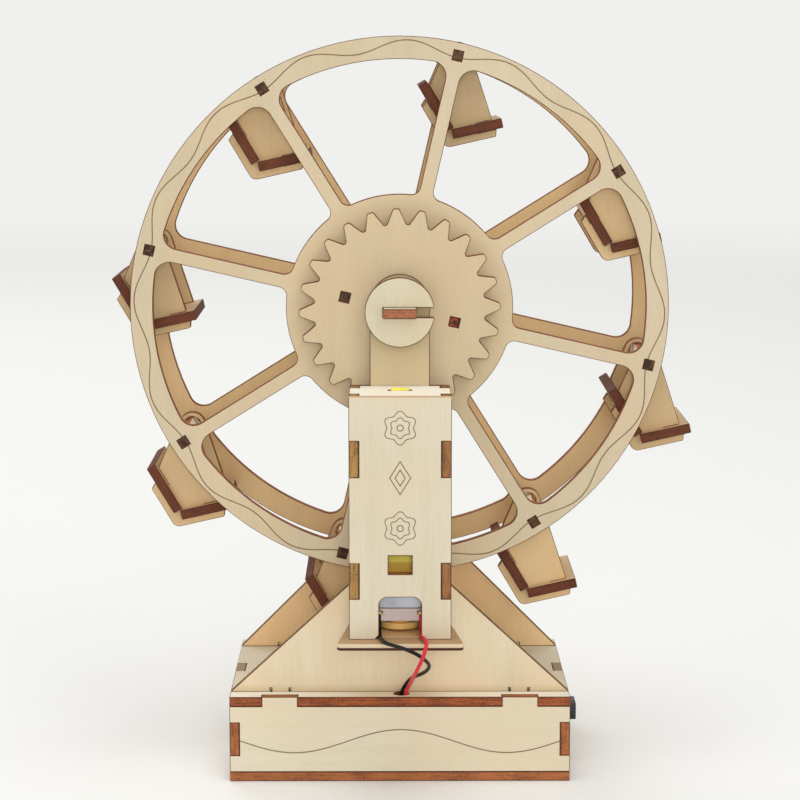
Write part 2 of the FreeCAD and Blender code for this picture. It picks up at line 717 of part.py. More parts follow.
def wheel_ring(label, y, hub_size, peg_holes):
    """One spoked ring: hub, spokes, rim, their roundings and the square holes."""
    body = new_body()
    hub = sketch_on(body, "XZ_Plane")
    draw_circle(hub, hub_size)
    pad(body, hub, ply)
    spoke = sketch_on(body, "XZ_Plane")
    # A spoke runs into the rim, and past its crossbar's hole
    spoke_end = larger((ring_inner + ring_outer) / 2, joint_radius + ply)
    draw_rectangle(spoke, about(0 * ply, spoke_width), (hub_size / 2, spoke_end))
    spokes = repeat_round(body, pad(body, spoke, ply), spoke_count)
    rim = sketch_on(body, "XZ_Plane")
    draw_circle(rim, ring_outer)
    draw_circle(rim, ring_inner)
    rim_pad = pad(body, rim, ply)
    at_rim = fillet_at_radius(body, rim_pad, ring_inner, rim_fillet)
    fillet_at_radius(body, at_rim, hub_size, hub_fillet)
    mortise = sketch_on(body, "XZ_Plane")
    hole = ply + 2 * slot_fit
    draw_rectangle(mortise, about(0 * ply, hole), about(joint_radius, hole))
    repeat_round(body, pocket(body, mortise, ply), spoke_count)
    bore = sketch_on(body, "XZ_Plane")
    draw_circle(bore, hub_hole)
    pocket(body, bore, ply)
    if peg_holes:
        cut_peg_holes(body)
    return subpart(label, place_on_wheel(body, y))


def cut_peg_holes(body):
    pegs = sketch_on(body, "XZ_Plane")
    hole = ply + 2 * slot_fit
    for side in (-1, 1):
        draw_rectangle(pegs, about(side * peg_radius, hole), about(0 * ply, hole))
    pocket(body, pegs, ply)


def toothed_disc(root, tip, tooth_foot, tooth_tip, tip_round, foot_round, teeth):
    """A flat gear: a root disc, one straight-sided tooth repeated, and its roundings."""
    body = new_body()
    disc = sketch_on(body, "XZ_Plane")
    draw_circle(disc, root)
    pad(body, disc, ply)
    tooth = sketch_on(body, "XZ_Plane")
    flare = (tooth_foot - tooth_tip) / (tip - root) * foot_round
    sunk = root - 2 * foot_round
    half_sunk = tooth_foot / 2 + flare
    draw_polygon(tooth, [(-half_sunk, sunk), (half_sunk, sunk),
                         (tooth_tip / 2, tip), (-tooth_tip / 2, tip)])
    around = repeat_round(body, pad(body, tooth, ply), teeth)
    tips = fillet_at_radius(body, around, root_of_squares(tooth_tip / 2, tip), tip_round)
    fillet_at_radius(body, tips, root, foot_round)
    return body


def gears():
    wheel_gear = toothed_disc(gear_root, gear_tip, gear_tooth_foot, gear_tooth_tip,
                              gear_tip_round, gear_foot_round, gear_teeth)
    bore = sketch_on(wheel_gear, "XZ_Plane")
    draw_circle(bore, hub_hole)
    pocket(wheel_gear, bore, ply)
    cut_peg_holes(wheel_gear)
    subpart("wheel_gear", place_on_wheel(wheel_gear, gear_y))
    pinion = toothed_disc(pinion_root, pinion_tip, pinion_tooth_foot, pinion_tooth_tip,
                          pinion_tip_round, pinion_foot_round, pinion_teeth)
    shaft = sketch_on(pinion, "XZ_Plane")
    draw_rectangle(shaft, about(0 * ply, shaft_flat), about(0 * ply, 2 * shaft_radius))
    pocket(pinion, shaft, ply)
    # A pinion tooth stands in the gap that follows the gear tooth nearest the line of centres
    offset = remainder(180 - wheel_phase, 360 / gear_teeth)
    place_on_wheel(pinion, gear_y, offset * gear_teeth / pinion_teeth + 180 / pinion_teeth)
    bind(pinion, "Placement.Base.z", shaft_z)
    subpart("drive_pinion", pinion)
    pegs = []
    for side in (-1, 1):
        x = about(side * peg_radius, ply)
        pin = block(x, (gear_y - ply / 2, front_ring_y + ply / 2), about(0 * ply, ply))
        gap = (gear_y + ply / 2, front_ring_y - ply / 2)
        shoulder = block(x, gap, about(0 * ply, peg_shoulder))
        pegs.append(turned(fuse(pin, shoulder), wheel_phase, 0, 0, axle_height))
    subpart("gear_pegs", together(*pegs))


def crossbars():
    """Square-ended bars from ring to ring, on which the gondolas hang."""
    y = (front_ring_y - ply / 2, rear_ring_y + ply / 2)
    between = (front_ring_y + ply / 2, rear_ring_y - ply / 2)
    tenons = block(about(0 * ply, ply), y, about(joint_radius, ply))
    middle = block(about(0 * ply, crossbar_width), between, about(joint_radius, ply))
    bar = fuse(tenons, middle)
    bars = [turned(bar, wheel_phase + 360 / spoke_count * index, 0, 0, axle_height)
            for index in range(round(spoke_count.value))]
    subpart("crossbars", together(*bars))


def back_point(up, across):
    """A point beside the back plate: up along it from its foot, and across to the front."""
    x = across * cosine(back_lean) - up * sine(back_lean) - back_foot
    z = across * sine(back_lean) + up * cosine(back_lean) - (seat_drop - ply / 2)
    return x, z


def gondola_side():
    """One side of a gondola, drawn about its pivot with the seat level."""
    half_slot = ply / 2 + slot_fit
    half_back = back_length / 2
    seat_middle = (seat_ahead - seat_behind) / 2
    floor = -(seat_drop + ply / 2 + seat_strip)
    outer = -(half_slot + back_strip)
    strip_low = back_point(0 * ply, outer)
    run = (strip_low[1] - floor) * tangent(back_lean)
    corners = [
        (head_radius, 0),
        (-0.8 * head_radius, 0.6 * head_radius),
        back_point(side_shoulder, half_slot),
        back_point(half_back, half_slot),
        back_point(half_back, -half_slot),
        back_point(back_strip_rise, -half_slot),
        back_point(back_strip_rise - back_strip / 2, outer),
        (strip_low[0] + run, floor),
        (side_front_low + slot_fit, floor),
        (side_front_low + back_strip / 3, -(seat_drop + half_slot)),
        (seat_middle, -(seat_drop + half_slot)),
        (seat_middle, -(seat_drop - half_slot)),
        (side_front_low, -(seat_drop - half_slot)),
    ]
    body = new_body()
    outline = sketch_on(body, "XZ_Plane")
    draw_polygon(outline, corners)
    pad(body, outline, ply)
    head = sketch_on(body, "XZ_Plane")
    draw_circle(head, head_radius)
    panel = pad(body, head, ply)
    corner = Vector(number_of(corners[7][0]), 0, number_of(floor))
    doc.recompute()
    names = [f"Edge{index}" for index, edge in enumerate(panel.Shape.Edges, start=1)
             if all(math.hypot(vertex.Point.x - corner.x, vertex.Point.z - corner.z) < 1e-3
                    for vertex in edge.Vertexes)]
    rounding = body.newObject("PartDesign::Fillet", "Fillet")
    rounding.Base = (panel, names)
    bind(rounding, "Radius", side_corner)
    eye = sketch_on(body, "XZ_Plane")
    draw_circle(eye, root_of_squares(crossbar_width / 2, ply / 2) + running_fit)
    pocket(body, eye, ply)
    return body


def gondola_seat():
    x = (-seat_behind, seat_ahead)
    board = block(x, about(0 * ply, bench_width), about(-seat_drop, ply))
    lap = (-seat_behind - CUT_OVERRUN, (seat_ahead - seat_behind) / 2)
    laps = both_sides(lambda side: slot(lap, about(side * side_spacing / 2, ply),
                                        about(-seat_drop, ply)))
    return cut(board, *laps)


def gondola_back():
    """The back plate, drawn upright with its foot at the origin."""
    board = block(about(0 * ply, ply), about(0 * ply, bench_width), (0, back_length))
    lap = (-CUT_OVERRUN, back_length / 2)
    laps = both_sides(lambda side: slot(about(0 * ply, ply),
                                        about(side * side_spacing / 2, ply), lap))
    board = cut(board, *laps)
    foot = back_point(0 * ply, 0 * ply)
    return turned(board, -back_lean, foot[0], 0, foot[1])


def hang_angle(pieces):
    """The turn that brings the gondola's centre of mass straight under its pivot."""
    doc.recompute()
    solids = [solid for piece in pieces for solid in piece.Shape.Solids]
    volume = sum(solid.Volume for solid in solids)
    middle_x = sum(solid.CenterOfMass.x * solid.Volume for solid in solids) / volume
    middle_z = sum(solid.CenterOfMass.z * solid.Volume for solid in solids) / volume
    return math.degrees(math.atan(-middle_x / middle_z))


def gondolas():
    panel = gondola_side()
    sides = together(*both_sides(lambda side: turned(panel, 0, 0, side * side_spacing / 2, 0)))
    seat = gondola_seat()
    back = gondola_back()
    hang = hang_angle([sides, seat, back])
    print(f"a gondola hangs {hang:.2f} degrees from a level seat")
    for index in range(round(spoke_count.value)):
        angle = wheel_phase + 360 / spoke_count * index
        x = joint_radius * sine(angle)
        z = axle_height + joint_radius * cosine(angle)
        for piece, name in ((sides, "sides"), (seat, "seat"), (back, "back")):
            placed = turned(piece, hang, x, wheel_middle_y, z)
            subpart(f"gondola_{index + 1}_{name}", placed)


def gearbox():
    """The two halves of the gearbox shell, which part half way through its depth."""
    middle_y = frame_face_y - box_depth / 2
    top = shaft_z + box_above
    neck_low = box_low - neck_length
    half = box_width / 2
    room = half - box_wall
    halves = ((frame_face_y - box_depth, middle_y), (middle_y, frame_face_y))
    inner = about(middle_y, box_depth - 2 * box_wall)
    inside = block((-room, room), inner, (box_low + box_wall, top - box_wall))
    can = motor_can_shape(can_width / 2 + slot_fit, can_depth + 2 * slot_fit,
                          neck_low - CUT_OVERRUN, box_low + box_wall + slot_fit)
    leg_z = (neck_low, box_low)
    legs = [slot(x, about(middle_y, strap_width), leg_z) for x in strap_legs_x()]
    for label, y in (("gearbox_front", halves[0]), ("gearbox_rear", halves[1])):
        shell = block((-half, half), y, (box_low, top))
        neck_y = (y[0] + box_wall / 2, y[1]) if label == "gearbox_front" else y
        neck = block((-half, half), neck_y, (neck_low, box_low))
        body = fuse(shell, neck)
        holes = [inside, can, *legs]
        if label == "gearbox_rear":
            tab_x = about(0 * ply, box_tab_width)
            tab = block(tab_x, about(middle_y, box_tab_thickness), (top, top + box_tab))
            nub_y = (frame_face_y - box_wall, frame_face_y + nub_length)
            nub = rod(nub_radius, 0, nub_y, shaft_z - nub_drop)
            holes.append(rod(shaft_radius + running_fit, 0,
                             (middle_y, frame_face_y + CUT_OVERRUN), shaft_z))
            body = fuse(body, tab, nub)
        subpart(label, cut(body, *holes))


def motor_can_shape(radius, depth, low, high):
    """A round can with two flats, standing upright behind the tower front."""
    middle_y = frame_face_y - box_depth / 2
    round_bar = rod(radius, 0, middle_y, (low, high))
    flats = block((-radius, radius), about(middle_y, depth), (low, high))
    return common(round_bar, flats)


def strap_legs_x():
    inner = can_width / 2 + slot_fit
    outer = inner + strap_thickness
    return ((-outer, -inner), (inner, outer))


def motor():
    middle_y = frame_face_y - box_depth / 2
    can_z = (can_low, can_low + can_length)
    subpart("motor_can", motor_can_shape(can_width / 2, can_depth, *can_z))
    cap = motor_can_shape(can_width / 2 - end_cap_inset, can_depth - 2 * end_cap_inset,
                          end_cap_low, can_low)
    boss = rod(boss_radius, 0, middle_y, (end_cap_low - boss_length, end_cap_low))
    subpart("motor_end_cap", fuse(cap, boss))
    strap_y = about(middle_y, strap_width)
    leg_top = box_low - neck_length / 2
    strap_low = end_cap_low - strap_thickness
    legs = [block(x, strap_y, (strap_low, leg_top)) for x in strap_legs_x()]
    reach = strap_legs_x()[1][1]
    band = block((-reach, reach), strap_y, (strap_low, end_cap_low))
    hole = rod(boss_radius + slot_fit, 0, middle_y,
               (strap_low - CUT_OVERRUN, end_cap_low + CUT_OVERRUN))
    subpart("motor_strap", cut(fuse(band, *legs), hole))
    cap_face = middle_y - can_depth / 2 + end_cap_inset
    tab_y = (cap_face - terminal_reach, cap_face)
    tab_z = about(end_cap_low + end_cap_length * 3 / 4, terminal_thickness)
    tabs = both_sides(lambda side: block(about(side * terminal_place, terminal_width),
                                         tab_y, tab_z))
    subpart("motor_terminals", together(*tabs))
    shaft_y = (middle_y + box_wall, frame_face_y + shaft_length)
    bar = rod(shaft_radius, 0, shaft_y, shaft_z)
    flat_y = (frame_face_y + box_wall, frame_face_y + shaft_length)
    side_flats = []
    for x in ((-shaft_radius - CUT_OVERRUN, -shaft_flat / 2),
              (shaft_flat / 2, shaft_radius + CUT_OVERRUN)):
        side_flats.append(block(x, (flat_y[0], flat_y[1] + CUT_OVERRUN),
                                about(shaft_z, 2 * shaft_radius + 2 * CUT_OVERRUN)))
    # The shaft turns with its pinion, so its flats follow the pinion's rest angle
    offset = remainder(180 - wheel_phase, 360 / gear_teeth)
    angle = offset * gear_teeth / pinion_teeth + 180 / pinion_teeth
    shaft = cut(bar, *side_flats)
    lowered = turned(shaft, 0, 0, 0, -shaft_z)
    subpart("output_shaft", turned(lowered, angle, 0, 0, shaft_z))


def battery_pack():
    x = about(holder_place_x, holder_length)
    y = about(holder_place_y, holder_depth)
    tray = block(x, y, (ply, ply + holder_height))
    inner_x = (x[0] + holder_wall, x[1] - holder_wall)
    inner_y = (y[0] + holder_wall, y[1] - holder_wall)
    inner_z = (ply + holder_wall, ply + holder_height + CUT_OVERRUN)
    subpart("battery_holder", cut(tray, block(inner_x, inner_y, inner_z)))
    cells = []
    tip_radius = cell_radius * 2 / 5
    for side in (-1, 1):
        cell_y = holder_place_y + side * cell_radius
        cell_z = ply + holder_wall + cell_radius
        middle = holder_place_x - side * cell_button / 2
        span = about(middle, cell_length)
        can = rod(cell_radius - slot_fit, span, cell_y, cell_z)
        end = span[1] if side > 0 else span[0] - cell_button
        cells.append(fuse(can, rod(tip_radius, (end, end + cell_button), cell_y, cell_z)))
    subpart("battery_cells", together(*cells))
    plate_z = (ply + holder_wall, ply + holder_height)
    plates = []
    for end, step in ((inner_x[0], contact_thickness), (inner_x[1], -contact_thickness)):
        plate_x = (end, end + step) if number_of(step) > 0 else (end + step, end)
        for side in (-1, 1):
            plate_y = about(holder_place_y + side * cell_radius, cell_radius * 6 / 5)
            plates.append(block(plate_x, plate_y, plate_z))
    subpart("battery_contacts", together(*plates))


def rocker_switch():
    """The switch in the right wall: a flanged housing and the rocker that tilts in it."""
    wall_x = half_length
    flange = block((wall_x, wall_x + switch_flange), about(switch_place, switch_length),
                   about(switch_height, switch_width))
    body_y = about(switch_place, switch_length - 2 * switch_lip)
    body_z = about(switch_height, switch_width - 2 * switch_lip)
    housing = block((wall_x - switch_depth, wall_x), body_y, body_z)
    room_y = about(switch_place, rocker_length + 4 * switch_lip - 2 * slot_fit)
    room_z = about(switch_height, rocker_width + switch_lip)
    room = block((wall_x - 2 * rocker_height / 3 - CUT_OVERRUN,
                  wall_x + switch_flange + CUT_OVERRUN), room_y, room_z)
    pin_z = about(switch_height, rocker_width + 4 * slot_fit + switch_lip * 2)
    pin_room = rod(rocker_pin + running_fit, wall_x, switch_place, pin_z)
    leads = []
    for side in (-1, 1):
        lead_y = about(switch_place + side * rocker_length / 4, terminal_width / 2)
        lead_x = (wall_x - switch_depth - lead_length, wall_x - switch_depth)
        leads.append(block(lead_x, lead_y, about(switch_height, terminal_thickness)))
    subpart("switch_body", cut(fuse(flange, housing, *leads), room, pin_room))
    body = new_body()
    profile = sketch_on(body, "XY_Plane")
    half = rocker_length / 2
    low = -rocker_height / 3
    draw_polygon(profile, [(low, -half), (rocker_height, -half),
                           (rocker_height - rocker_dip, 0), (rocker_height, half), (low, half)])
    pad(body, profile, rocker_width)
    pins = rod(rocker_pin, 0, 0, about(0 * ply, rocker_width + 2 * switch_lip))
    rocker = fuse(body, pins)
    placed = together(rocker)
    placed.Placement = FreeCAD.Placement(Vector(), FreeCAD.Rotation(Vector(0, 0, 1), 1))
    bind(placed, "Placement.Rotation.Angle", rocker_tilt * Size("1deg"))
    for way, place in (("x", wall_x), ("y", switch_place), ("z", switch_height)):
        bind(placed, "Placement.Base." + way, place)
    subpart("switch_rocker", placed)


def wire_path(points):
    """Straight runs joined by arcs as large as the runs beside each point allow."""
    corners = [Vector(*point) for point in points]
    edges = []
    radii = []
    start = corners[0]
    for before, corner, after in zip(corners, corners[1:], corners[2:]):
        back = (before - corner).normalize()
        ahead = (after - corner).normalize()
        half_turn = (math.pi - back.getAngle(ahead)) / 2
        reach = ARC_SHARE * min((before - corner).Length, (after - corner).Length)
        radius = reach / math.tan(half_turn)
        radii.append(radius)
        first = corner + back * reach
        last = corner + ahead * reach
        centre_way = (back + ahead).normalize()
        middle = corner + centre_way * (radius / math.cos(half_turn) - radius)
        edges.append(Part.LineSegment(start, first).toShape())
        edges.append(Part.Arc(first, middle, last).toShape())
        start = last
    edges.append(Part.LineSegment(start, corners[-1]).toShape())
    return Part.Wire(edges), radii


def wire(label, points):
    """A thin tube along its route, checked against its section times its length."""
    path, radii = wire_path(points)
    radius = wire_diameter.value / 2
    begin = path.Edges[0].Vertexes[0].Point
    section = Part.makeCircle(radius, begin, Vector(*points[1]) - Vector(*points[0]))
    tube = path.makePipe(Part.Face(Part.Wire(section)))
    expected = math.pi * radius**2 * path.Length
    print(f"{label}: length {path.Length:.1f}, least radius {min(radii):.2f}, "
          f"volume {tube.Volume / expected:.4f} of section times length")
    piece = doc.addObject("Part::Feature", "Wire")
    piece.Shape = tube if tube.ShapeType == "Solid" else tube.Solids[0]
    subpart(label, piece)


def wires():
    """The motor's two wires, out of its window and down through the lid, and the switch's."""
    reach = terminal_place.value
    under_terminal = (can_low - end_cap_length / 4 - terminal_thickness / 2).value
    cap_face = (frame_face_y - box_depth / 2 - can_depth / 2 + end_cap_inset).value
    tab_y = cap_face - terminal_reach.value * 2 / 3
    switch_x = (half_length - switch_depth - lead_length).value
    holder_face = (holder_place_y - holder_depth / 2).value
    far_lead = (switch_place - rocker_length / 4).value
    near_lead = (switch_place + rocker_length / 4).value
    lead_z = switch_height.value
    wire("wire_red", [
        (reach, tab_y, under_terminal),
        (reach, tab_y, under_terminal - 3.3),
        (reach - 0.15, tab_y - 2.3, 49.9),
        (6.0, -56.4, 50.0),
        (6.2, -61.4, 50.6),
        (6.0, -66.4, 50.2),
        (5.5, -69.5, 46.2),
        (4.9, -67.4, 41.7),
        (4.1, -60.6, 39.0),
        (3.2, -52.6, 36.8),
        (2.5, -45.0, 34.2),
        (1.9, -37.8, 31.2),
        (1.5, -34.0, 25.6),
        (2.4, -33.2, 17.4),
        (6.4, -29.6, 11.2),
        (15.0, -25.4, 9.2),
        (25.0, -20.8, 10.6),
        (32.0, -16.2, 15.0),
        (switch_x - 4.4, far_lead, lead_z),
        (switch_x, far_lead, lead_z),
    ])
    wire("wire_black", [
        (-reach, tab_y, under_terminal),
        (-reach, tab_y, under_terminal - 3.3),
        (0.15 - reach, tab_y - 2.3, 49.9),
        (-5.7, -56.4, 50.0),
        (-3.6, -61.2, 50.5),
        (0.2, -64.9, 49.8),
        (4.4, -64.9, 46.4),
        (7.2, -60.2, 43.2),
        (8.4, -54.4, 40.4),
        (7.6, -48.4, 37.6),
        (6.0, -42.4, 35.0),
        (3.7, -36.4, 32.6),
        (1.0, -33.3, 28.8),
        (-0.5, -32.8, 23.6),
        (-2.3, -30.4, 16.2),
        (-8.4, -24.4, 10.6),
        (-16.0, -17.0, 8.2),
        (-22.0, -10.6, 8.2),
        (-24.0, holder_face - 5.1, 9.0),
        (-24.0, holder_face, 9.0),
    ])
    wire("wire_switch", [
        (8.0, holder_face, 9.0),
        (8.0, holder_face - 5.1, 9.0),
        (13.0, -9.6, 8.2),
        (21.4, -12.6, 9.2),
        (30.0, -12.4, 13.0),
        (switch_x - 4.6, near_lead, lead_z),
        (switch_x, near_lead, lead_z),
    ])


def check_and_write():
    doc.recompute()
    for thing in doc.Objects:
        wrong = [state for state in thing.State if state in ("Invalid", "Error")]
        if wrong:
            raise RuntimeError(f"{thing.Label} ({thing.TypeId}) is {thing.State}")
    os.makedirs("parts", exist_ok=True)
    for label, piece in subparts.items():
        shape = piece.Shape
        if shape.isNull() or not shape.isValid() or not shape.Solids:
            raise RuntimeError(f"{label} has no valid solid")
    for label, piece in subparts.items():
        piece.Shape.exportStep(os.path.join("parts", label + ".step"))
    print(f"{len(subparts)} sub-parts written")


base_box()
frames()
tower()
axle_pieces()
wheel_ring("front_wheel", front_ring_y, hub_radius, True)
wheel_ring("rear_wheel", rear_ring_y, rear_hub_radius, False)
gears()
crossbars()
gearbox()
motor()
battery_pack()
rocker_switch()
gondolas()
wires()
check_and_write()
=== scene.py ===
"""Wooden ferris wheel kit: the finish of every piece, its wires, small parts and studio."""

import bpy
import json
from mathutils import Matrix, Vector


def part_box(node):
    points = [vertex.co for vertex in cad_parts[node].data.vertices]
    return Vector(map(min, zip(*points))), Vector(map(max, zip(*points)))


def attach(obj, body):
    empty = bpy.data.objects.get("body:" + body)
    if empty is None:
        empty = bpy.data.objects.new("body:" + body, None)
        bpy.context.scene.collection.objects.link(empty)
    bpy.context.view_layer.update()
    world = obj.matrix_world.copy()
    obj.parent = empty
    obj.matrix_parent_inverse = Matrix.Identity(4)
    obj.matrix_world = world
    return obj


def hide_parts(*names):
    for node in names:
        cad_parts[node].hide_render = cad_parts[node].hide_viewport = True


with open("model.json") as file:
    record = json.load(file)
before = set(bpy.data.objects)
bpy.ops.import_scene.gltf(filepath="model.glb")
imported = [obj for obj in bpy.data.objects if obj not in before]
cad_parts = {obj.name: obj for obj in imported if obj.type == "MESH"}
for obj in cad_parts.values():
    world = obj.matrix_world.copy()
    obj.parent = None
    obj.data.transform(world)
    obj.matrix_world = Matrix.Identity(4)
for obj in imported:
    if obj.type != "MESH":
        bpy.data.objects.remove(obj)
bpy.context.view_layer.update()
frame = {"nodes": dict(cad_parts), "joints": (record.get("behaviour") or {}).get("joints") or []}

import json
from contextlib import contextmanager
from math import cos, pi, radians, sin, sqrt

import bmesh
import bpy
from mathutils import Vector

bl_info = {
    "name": "Wooden Ferris Wheel Kit",
    "version": (1, 0, 0),
    "blender": (4, 5, 0),
    "location": "View3D > Sidebar > Ferris Wheel",
    "description": "Dresses the pieces of a laser-cut ferris wheel kit with a gear motor",
    "category": "Object",
}

# The pieces' places are in millimetres here, and are multiplied by MM where Blender takes metres.
MM = 0.001
JOINTS = {joint["name"]: joint for joint in frame["joints"]}
AXLE = Vector(JOINTS["wheel_spin"]["pos_m"]) / MM
FRONT = (0, -1, 0)
BACK = (0, 1, 0)
RIGHT = (1, 0, 0)
UP = (0, 0, 1)

# The sheet's thickness, and the distance within which two levels count as the same.
PLY = 3.0
NEAR = 0.1

# How far the wheel stands turned, and how far the faces of a seat and a back lean to the right.
WHEEL_TURN = radians(13)
SEAT_LEAN = radians(-12.7)
BACK_LEAN = radians(59.3)

# Each gondola's wood is made lighter or darker by its own share.
GONDOLA_LIGHTNESS = (0.84, 1.14, 0.96, 1.17, 1.0, 1.07, 0.93, 1.0)


def screen(red, green, blue):
    """The linear colour of three screen values from 0 to 255."""
    linear = []
    for value in (red, green, blue):
        share = value / 255
        linear.append(share / 12.92 if share < 0.04045 else ((share + 0.055) / 1.055) ** 2.4)
    return (*linear, 1.0)


def colour_property(name, description, red, green, blue):
    """A colour setting, whose default is given as screen values."""
    return bpy.props.FloatVectorProperty(
        name=name, description=description, subtype="COLOR", size=4, min=0.0, max=1.0,
        default=screen(red, green, blue))


def size_property(name, description, millimetres):
    """A size setting, whose default is given in millimetres."""
    return bpy.props.FloatProperty(
        name=name, description=description, subtype="DISTANCE", unit="LENGTH",
        default=millimetres * MM, min=0.0)


class FERRIS_PG_wood(bpy.types.PropertyGroup):
    """Colours of the plywood, its burnt edges and its engraved lines"""
    base: colour_property("Base", "Walls and lid of the base box", 220, 211, 187)
    frame_low: colour_property("Frame foot", "Front frame near the base", 224, 209, 180)
    # Painted shade: the darker colour that the front frame's head, under the cap and axle, and its
    # foot at the lid are painted towards.
    frame_shade: colour_property("Frame head", "Front frame near the axle", 184, 162, 118)
    rear_frame: colour_property("Rear frame", "Frame behind the wheel", 238, 206, 158)
    tower: colour_property("Tower", "Walls of the motor tower", 213, 204, 180)
    tower_edge: colour_property("Tower edge", "Top edge of the tower's front", 208, 180, 142)
    # Painted light: a paler, lit copy of the tower's wood, for the roof and for the lid's front
    # strip.
    lit_roof: colour_property("Roof", "Roof of the tower, and the lid's front", 255, 250, 236)
    shelf: colour_property("Shelf", "Shelf under the motor tower", 180, 148, 110)
    # Painted light: the paler tone that the shelf's top inside the tower is painted towards.
    shelf_inside_light: colour_property("Shelf inside", "Shelf inside the tower", 244, 204, 148)
    cap: colour_property("Cap", "Round caps on the axle", 209, 200, 174)
    ring: colour_property("Ring", "Front ring and its spokes", 204, 189, 160)
    # Painted shade: the warmer, shaded tone of the front ring round its hub, behind the gear.
    hub_shade: colour_property("Hub", "Hub of the front ring", 212, 191, 154)
    rear_ring: colour_property("Rear ring", "Ring at the back", 214, 183, 136)
    gear: colour_property("Gear", "Wheel gear and its pinion", 204, 186, 152)
    gondola: colour_property("Gondola", "Sides, seats and backs of the gondolas", 203, 177, 134)
    # Painted light: a paler, lit copy of the wood for the crossbars and pegs, for the light that
    # falls between the rings.
    bar: colour_property("Bar", "Crossbars between the rings, and pegs", 246, 232, 208)
    burnt: colour_property("Burnt edge", "Cut edges as the laser leaves them", 172, 104, 60)
    lid_edge: colour_property("Lid edge", "Cut edges of the lid", 170, 91, 48)
    burnt_deep: colour_property("Deep burn", "Darkest streaks in a cut edge", 72, 36, 24)
    chocolate: colour_property("Dark edge", "Cut edges of seats and backs", 108, 56, 32)
    charred: colour_property("Charred end", "Ends of the crossbars and pegs", 96, 68, 44)
    soot: colour_property("Soot", "Black patches on those ends", 42, 26, 17)
    red_peg: colour_property("Red peg", "End of the peg on the gear's right", 158, 68, 44)
    scorched: colour_property("Scorched edge", "Cut edges of the frames and caps", 150, 112, 76)
    # Grey-brown given to the upward ends of the side walls' tabs in the lid.
    grey_top_end: colour_property("Sooty end", "Ends of the side walls' tabs in the lid", 158, 138, 114)
    # Painted highlight along the upper half of the shelf's front edge.
    lip_highlight: colour_property("Lip", "Pale top of the shelf's front edge", 214, 194, 160)
    golden: colour_property("Golden end", "Ends of the tower's left tabs", 172, 132, 74)
    tan: colour_property("Tan end", "Ends of the tower's right tabs", 152, 106, 64)
    axle_end: colour_property("Axle end", "Ends of the flat axle", 168, 106, 76)
    engraved: colour_property("Engraved line", "Lines engraved in a face", 112, 90, 56)


class FERRIS_PG_motor(bpy.types.PropertyGroup):
    """Colours of the gear motor, its wires and the switch"""
    gearbox: colour_property("Gearbox", "Gearbox of the motor", 255, 238, 88)
    # Painted shade on the gearbox's foot, where the can goes in.
    gearbox_foot_shade: colour_property("Gearbox foot", "Lower end of the gearbox", 230, 164, 48)
    can: colour_property("Motor can", "Steel can of the motor", 176, 178, 186)
    cap: colour_property("Motor end", "Plastic end of the motor", 246, 232, 226)
    boss: colour_property("Boss", "Bearing boss of the motor and its collar", 255, 214, 132)
    strap: colour_property("Strap", "Clear strap round the motor", 226, 226, 220)
    shaft: colour_property("Shaft", "Output shaft of the gearbox", 238, 234, 222)
    brass: colour_property("Brass", "Terminals of the motor", 214, 176, 104)
    solder: colour_property("Solder", "Drops of solder on the terminals", 196, 197, 200)
    red: colour_property("Red wire", "Insulation of the red wire", 214, 42, 56)
    black: colour_property("Black wire", "Insulation of the black wire", 14, 12, 11)
    switch: colour_property("Switch", "Housing and rocker of the switch", 32, 32, 34)
    mark: colour_property("Mark", "On and off marks of the rocker", 226, 226, 222)


class FERRIS_PG_battery(bpy.types.PropertyGroup):
    """Colours of the battery pack inside the base"""
    holder: colour_property("Holder", "Plastic tray of the cells", 34, 34, 36)
    sleeve: colour_property("Sleeve", "Sleeve of the cells", 38, 74, 92)
    band: colour_property("Band", "Copper band round the cells", 196, 140, 84)
    steel: colour_property("Steel", "Ends of the cells and contact plates", 190, 190, 192)


class FERRIS_PG_sizes(bpy.types.PropertyGroup):
    """Sizes of the marks and small parts"""
    char: size_property("Char", "Width of the burnt rim along a cut edge", 0.2)
    line: size_property("Engraved line", "Width of an engraved line", 0.38)
    wire: size_property("Wire", "Diameter of a wire over its insulation", 1.15)
    wave: size_property("Ring wave", "Height of the wave round the ring", 1.72)
    base_wave: size_property("Base wave", "Height of the wave on the front wall", 3.65)
    rosette: size_property("Rosette", "Radius of the rosettes on the tower", 4.5)


class FERRIS_PG_studio(bpy.types.PropertyGroup):
    """Colour of the studio"""
    backdrop: colour_property("Backdrop", "Floor and surroundings", 240, 240, 238)


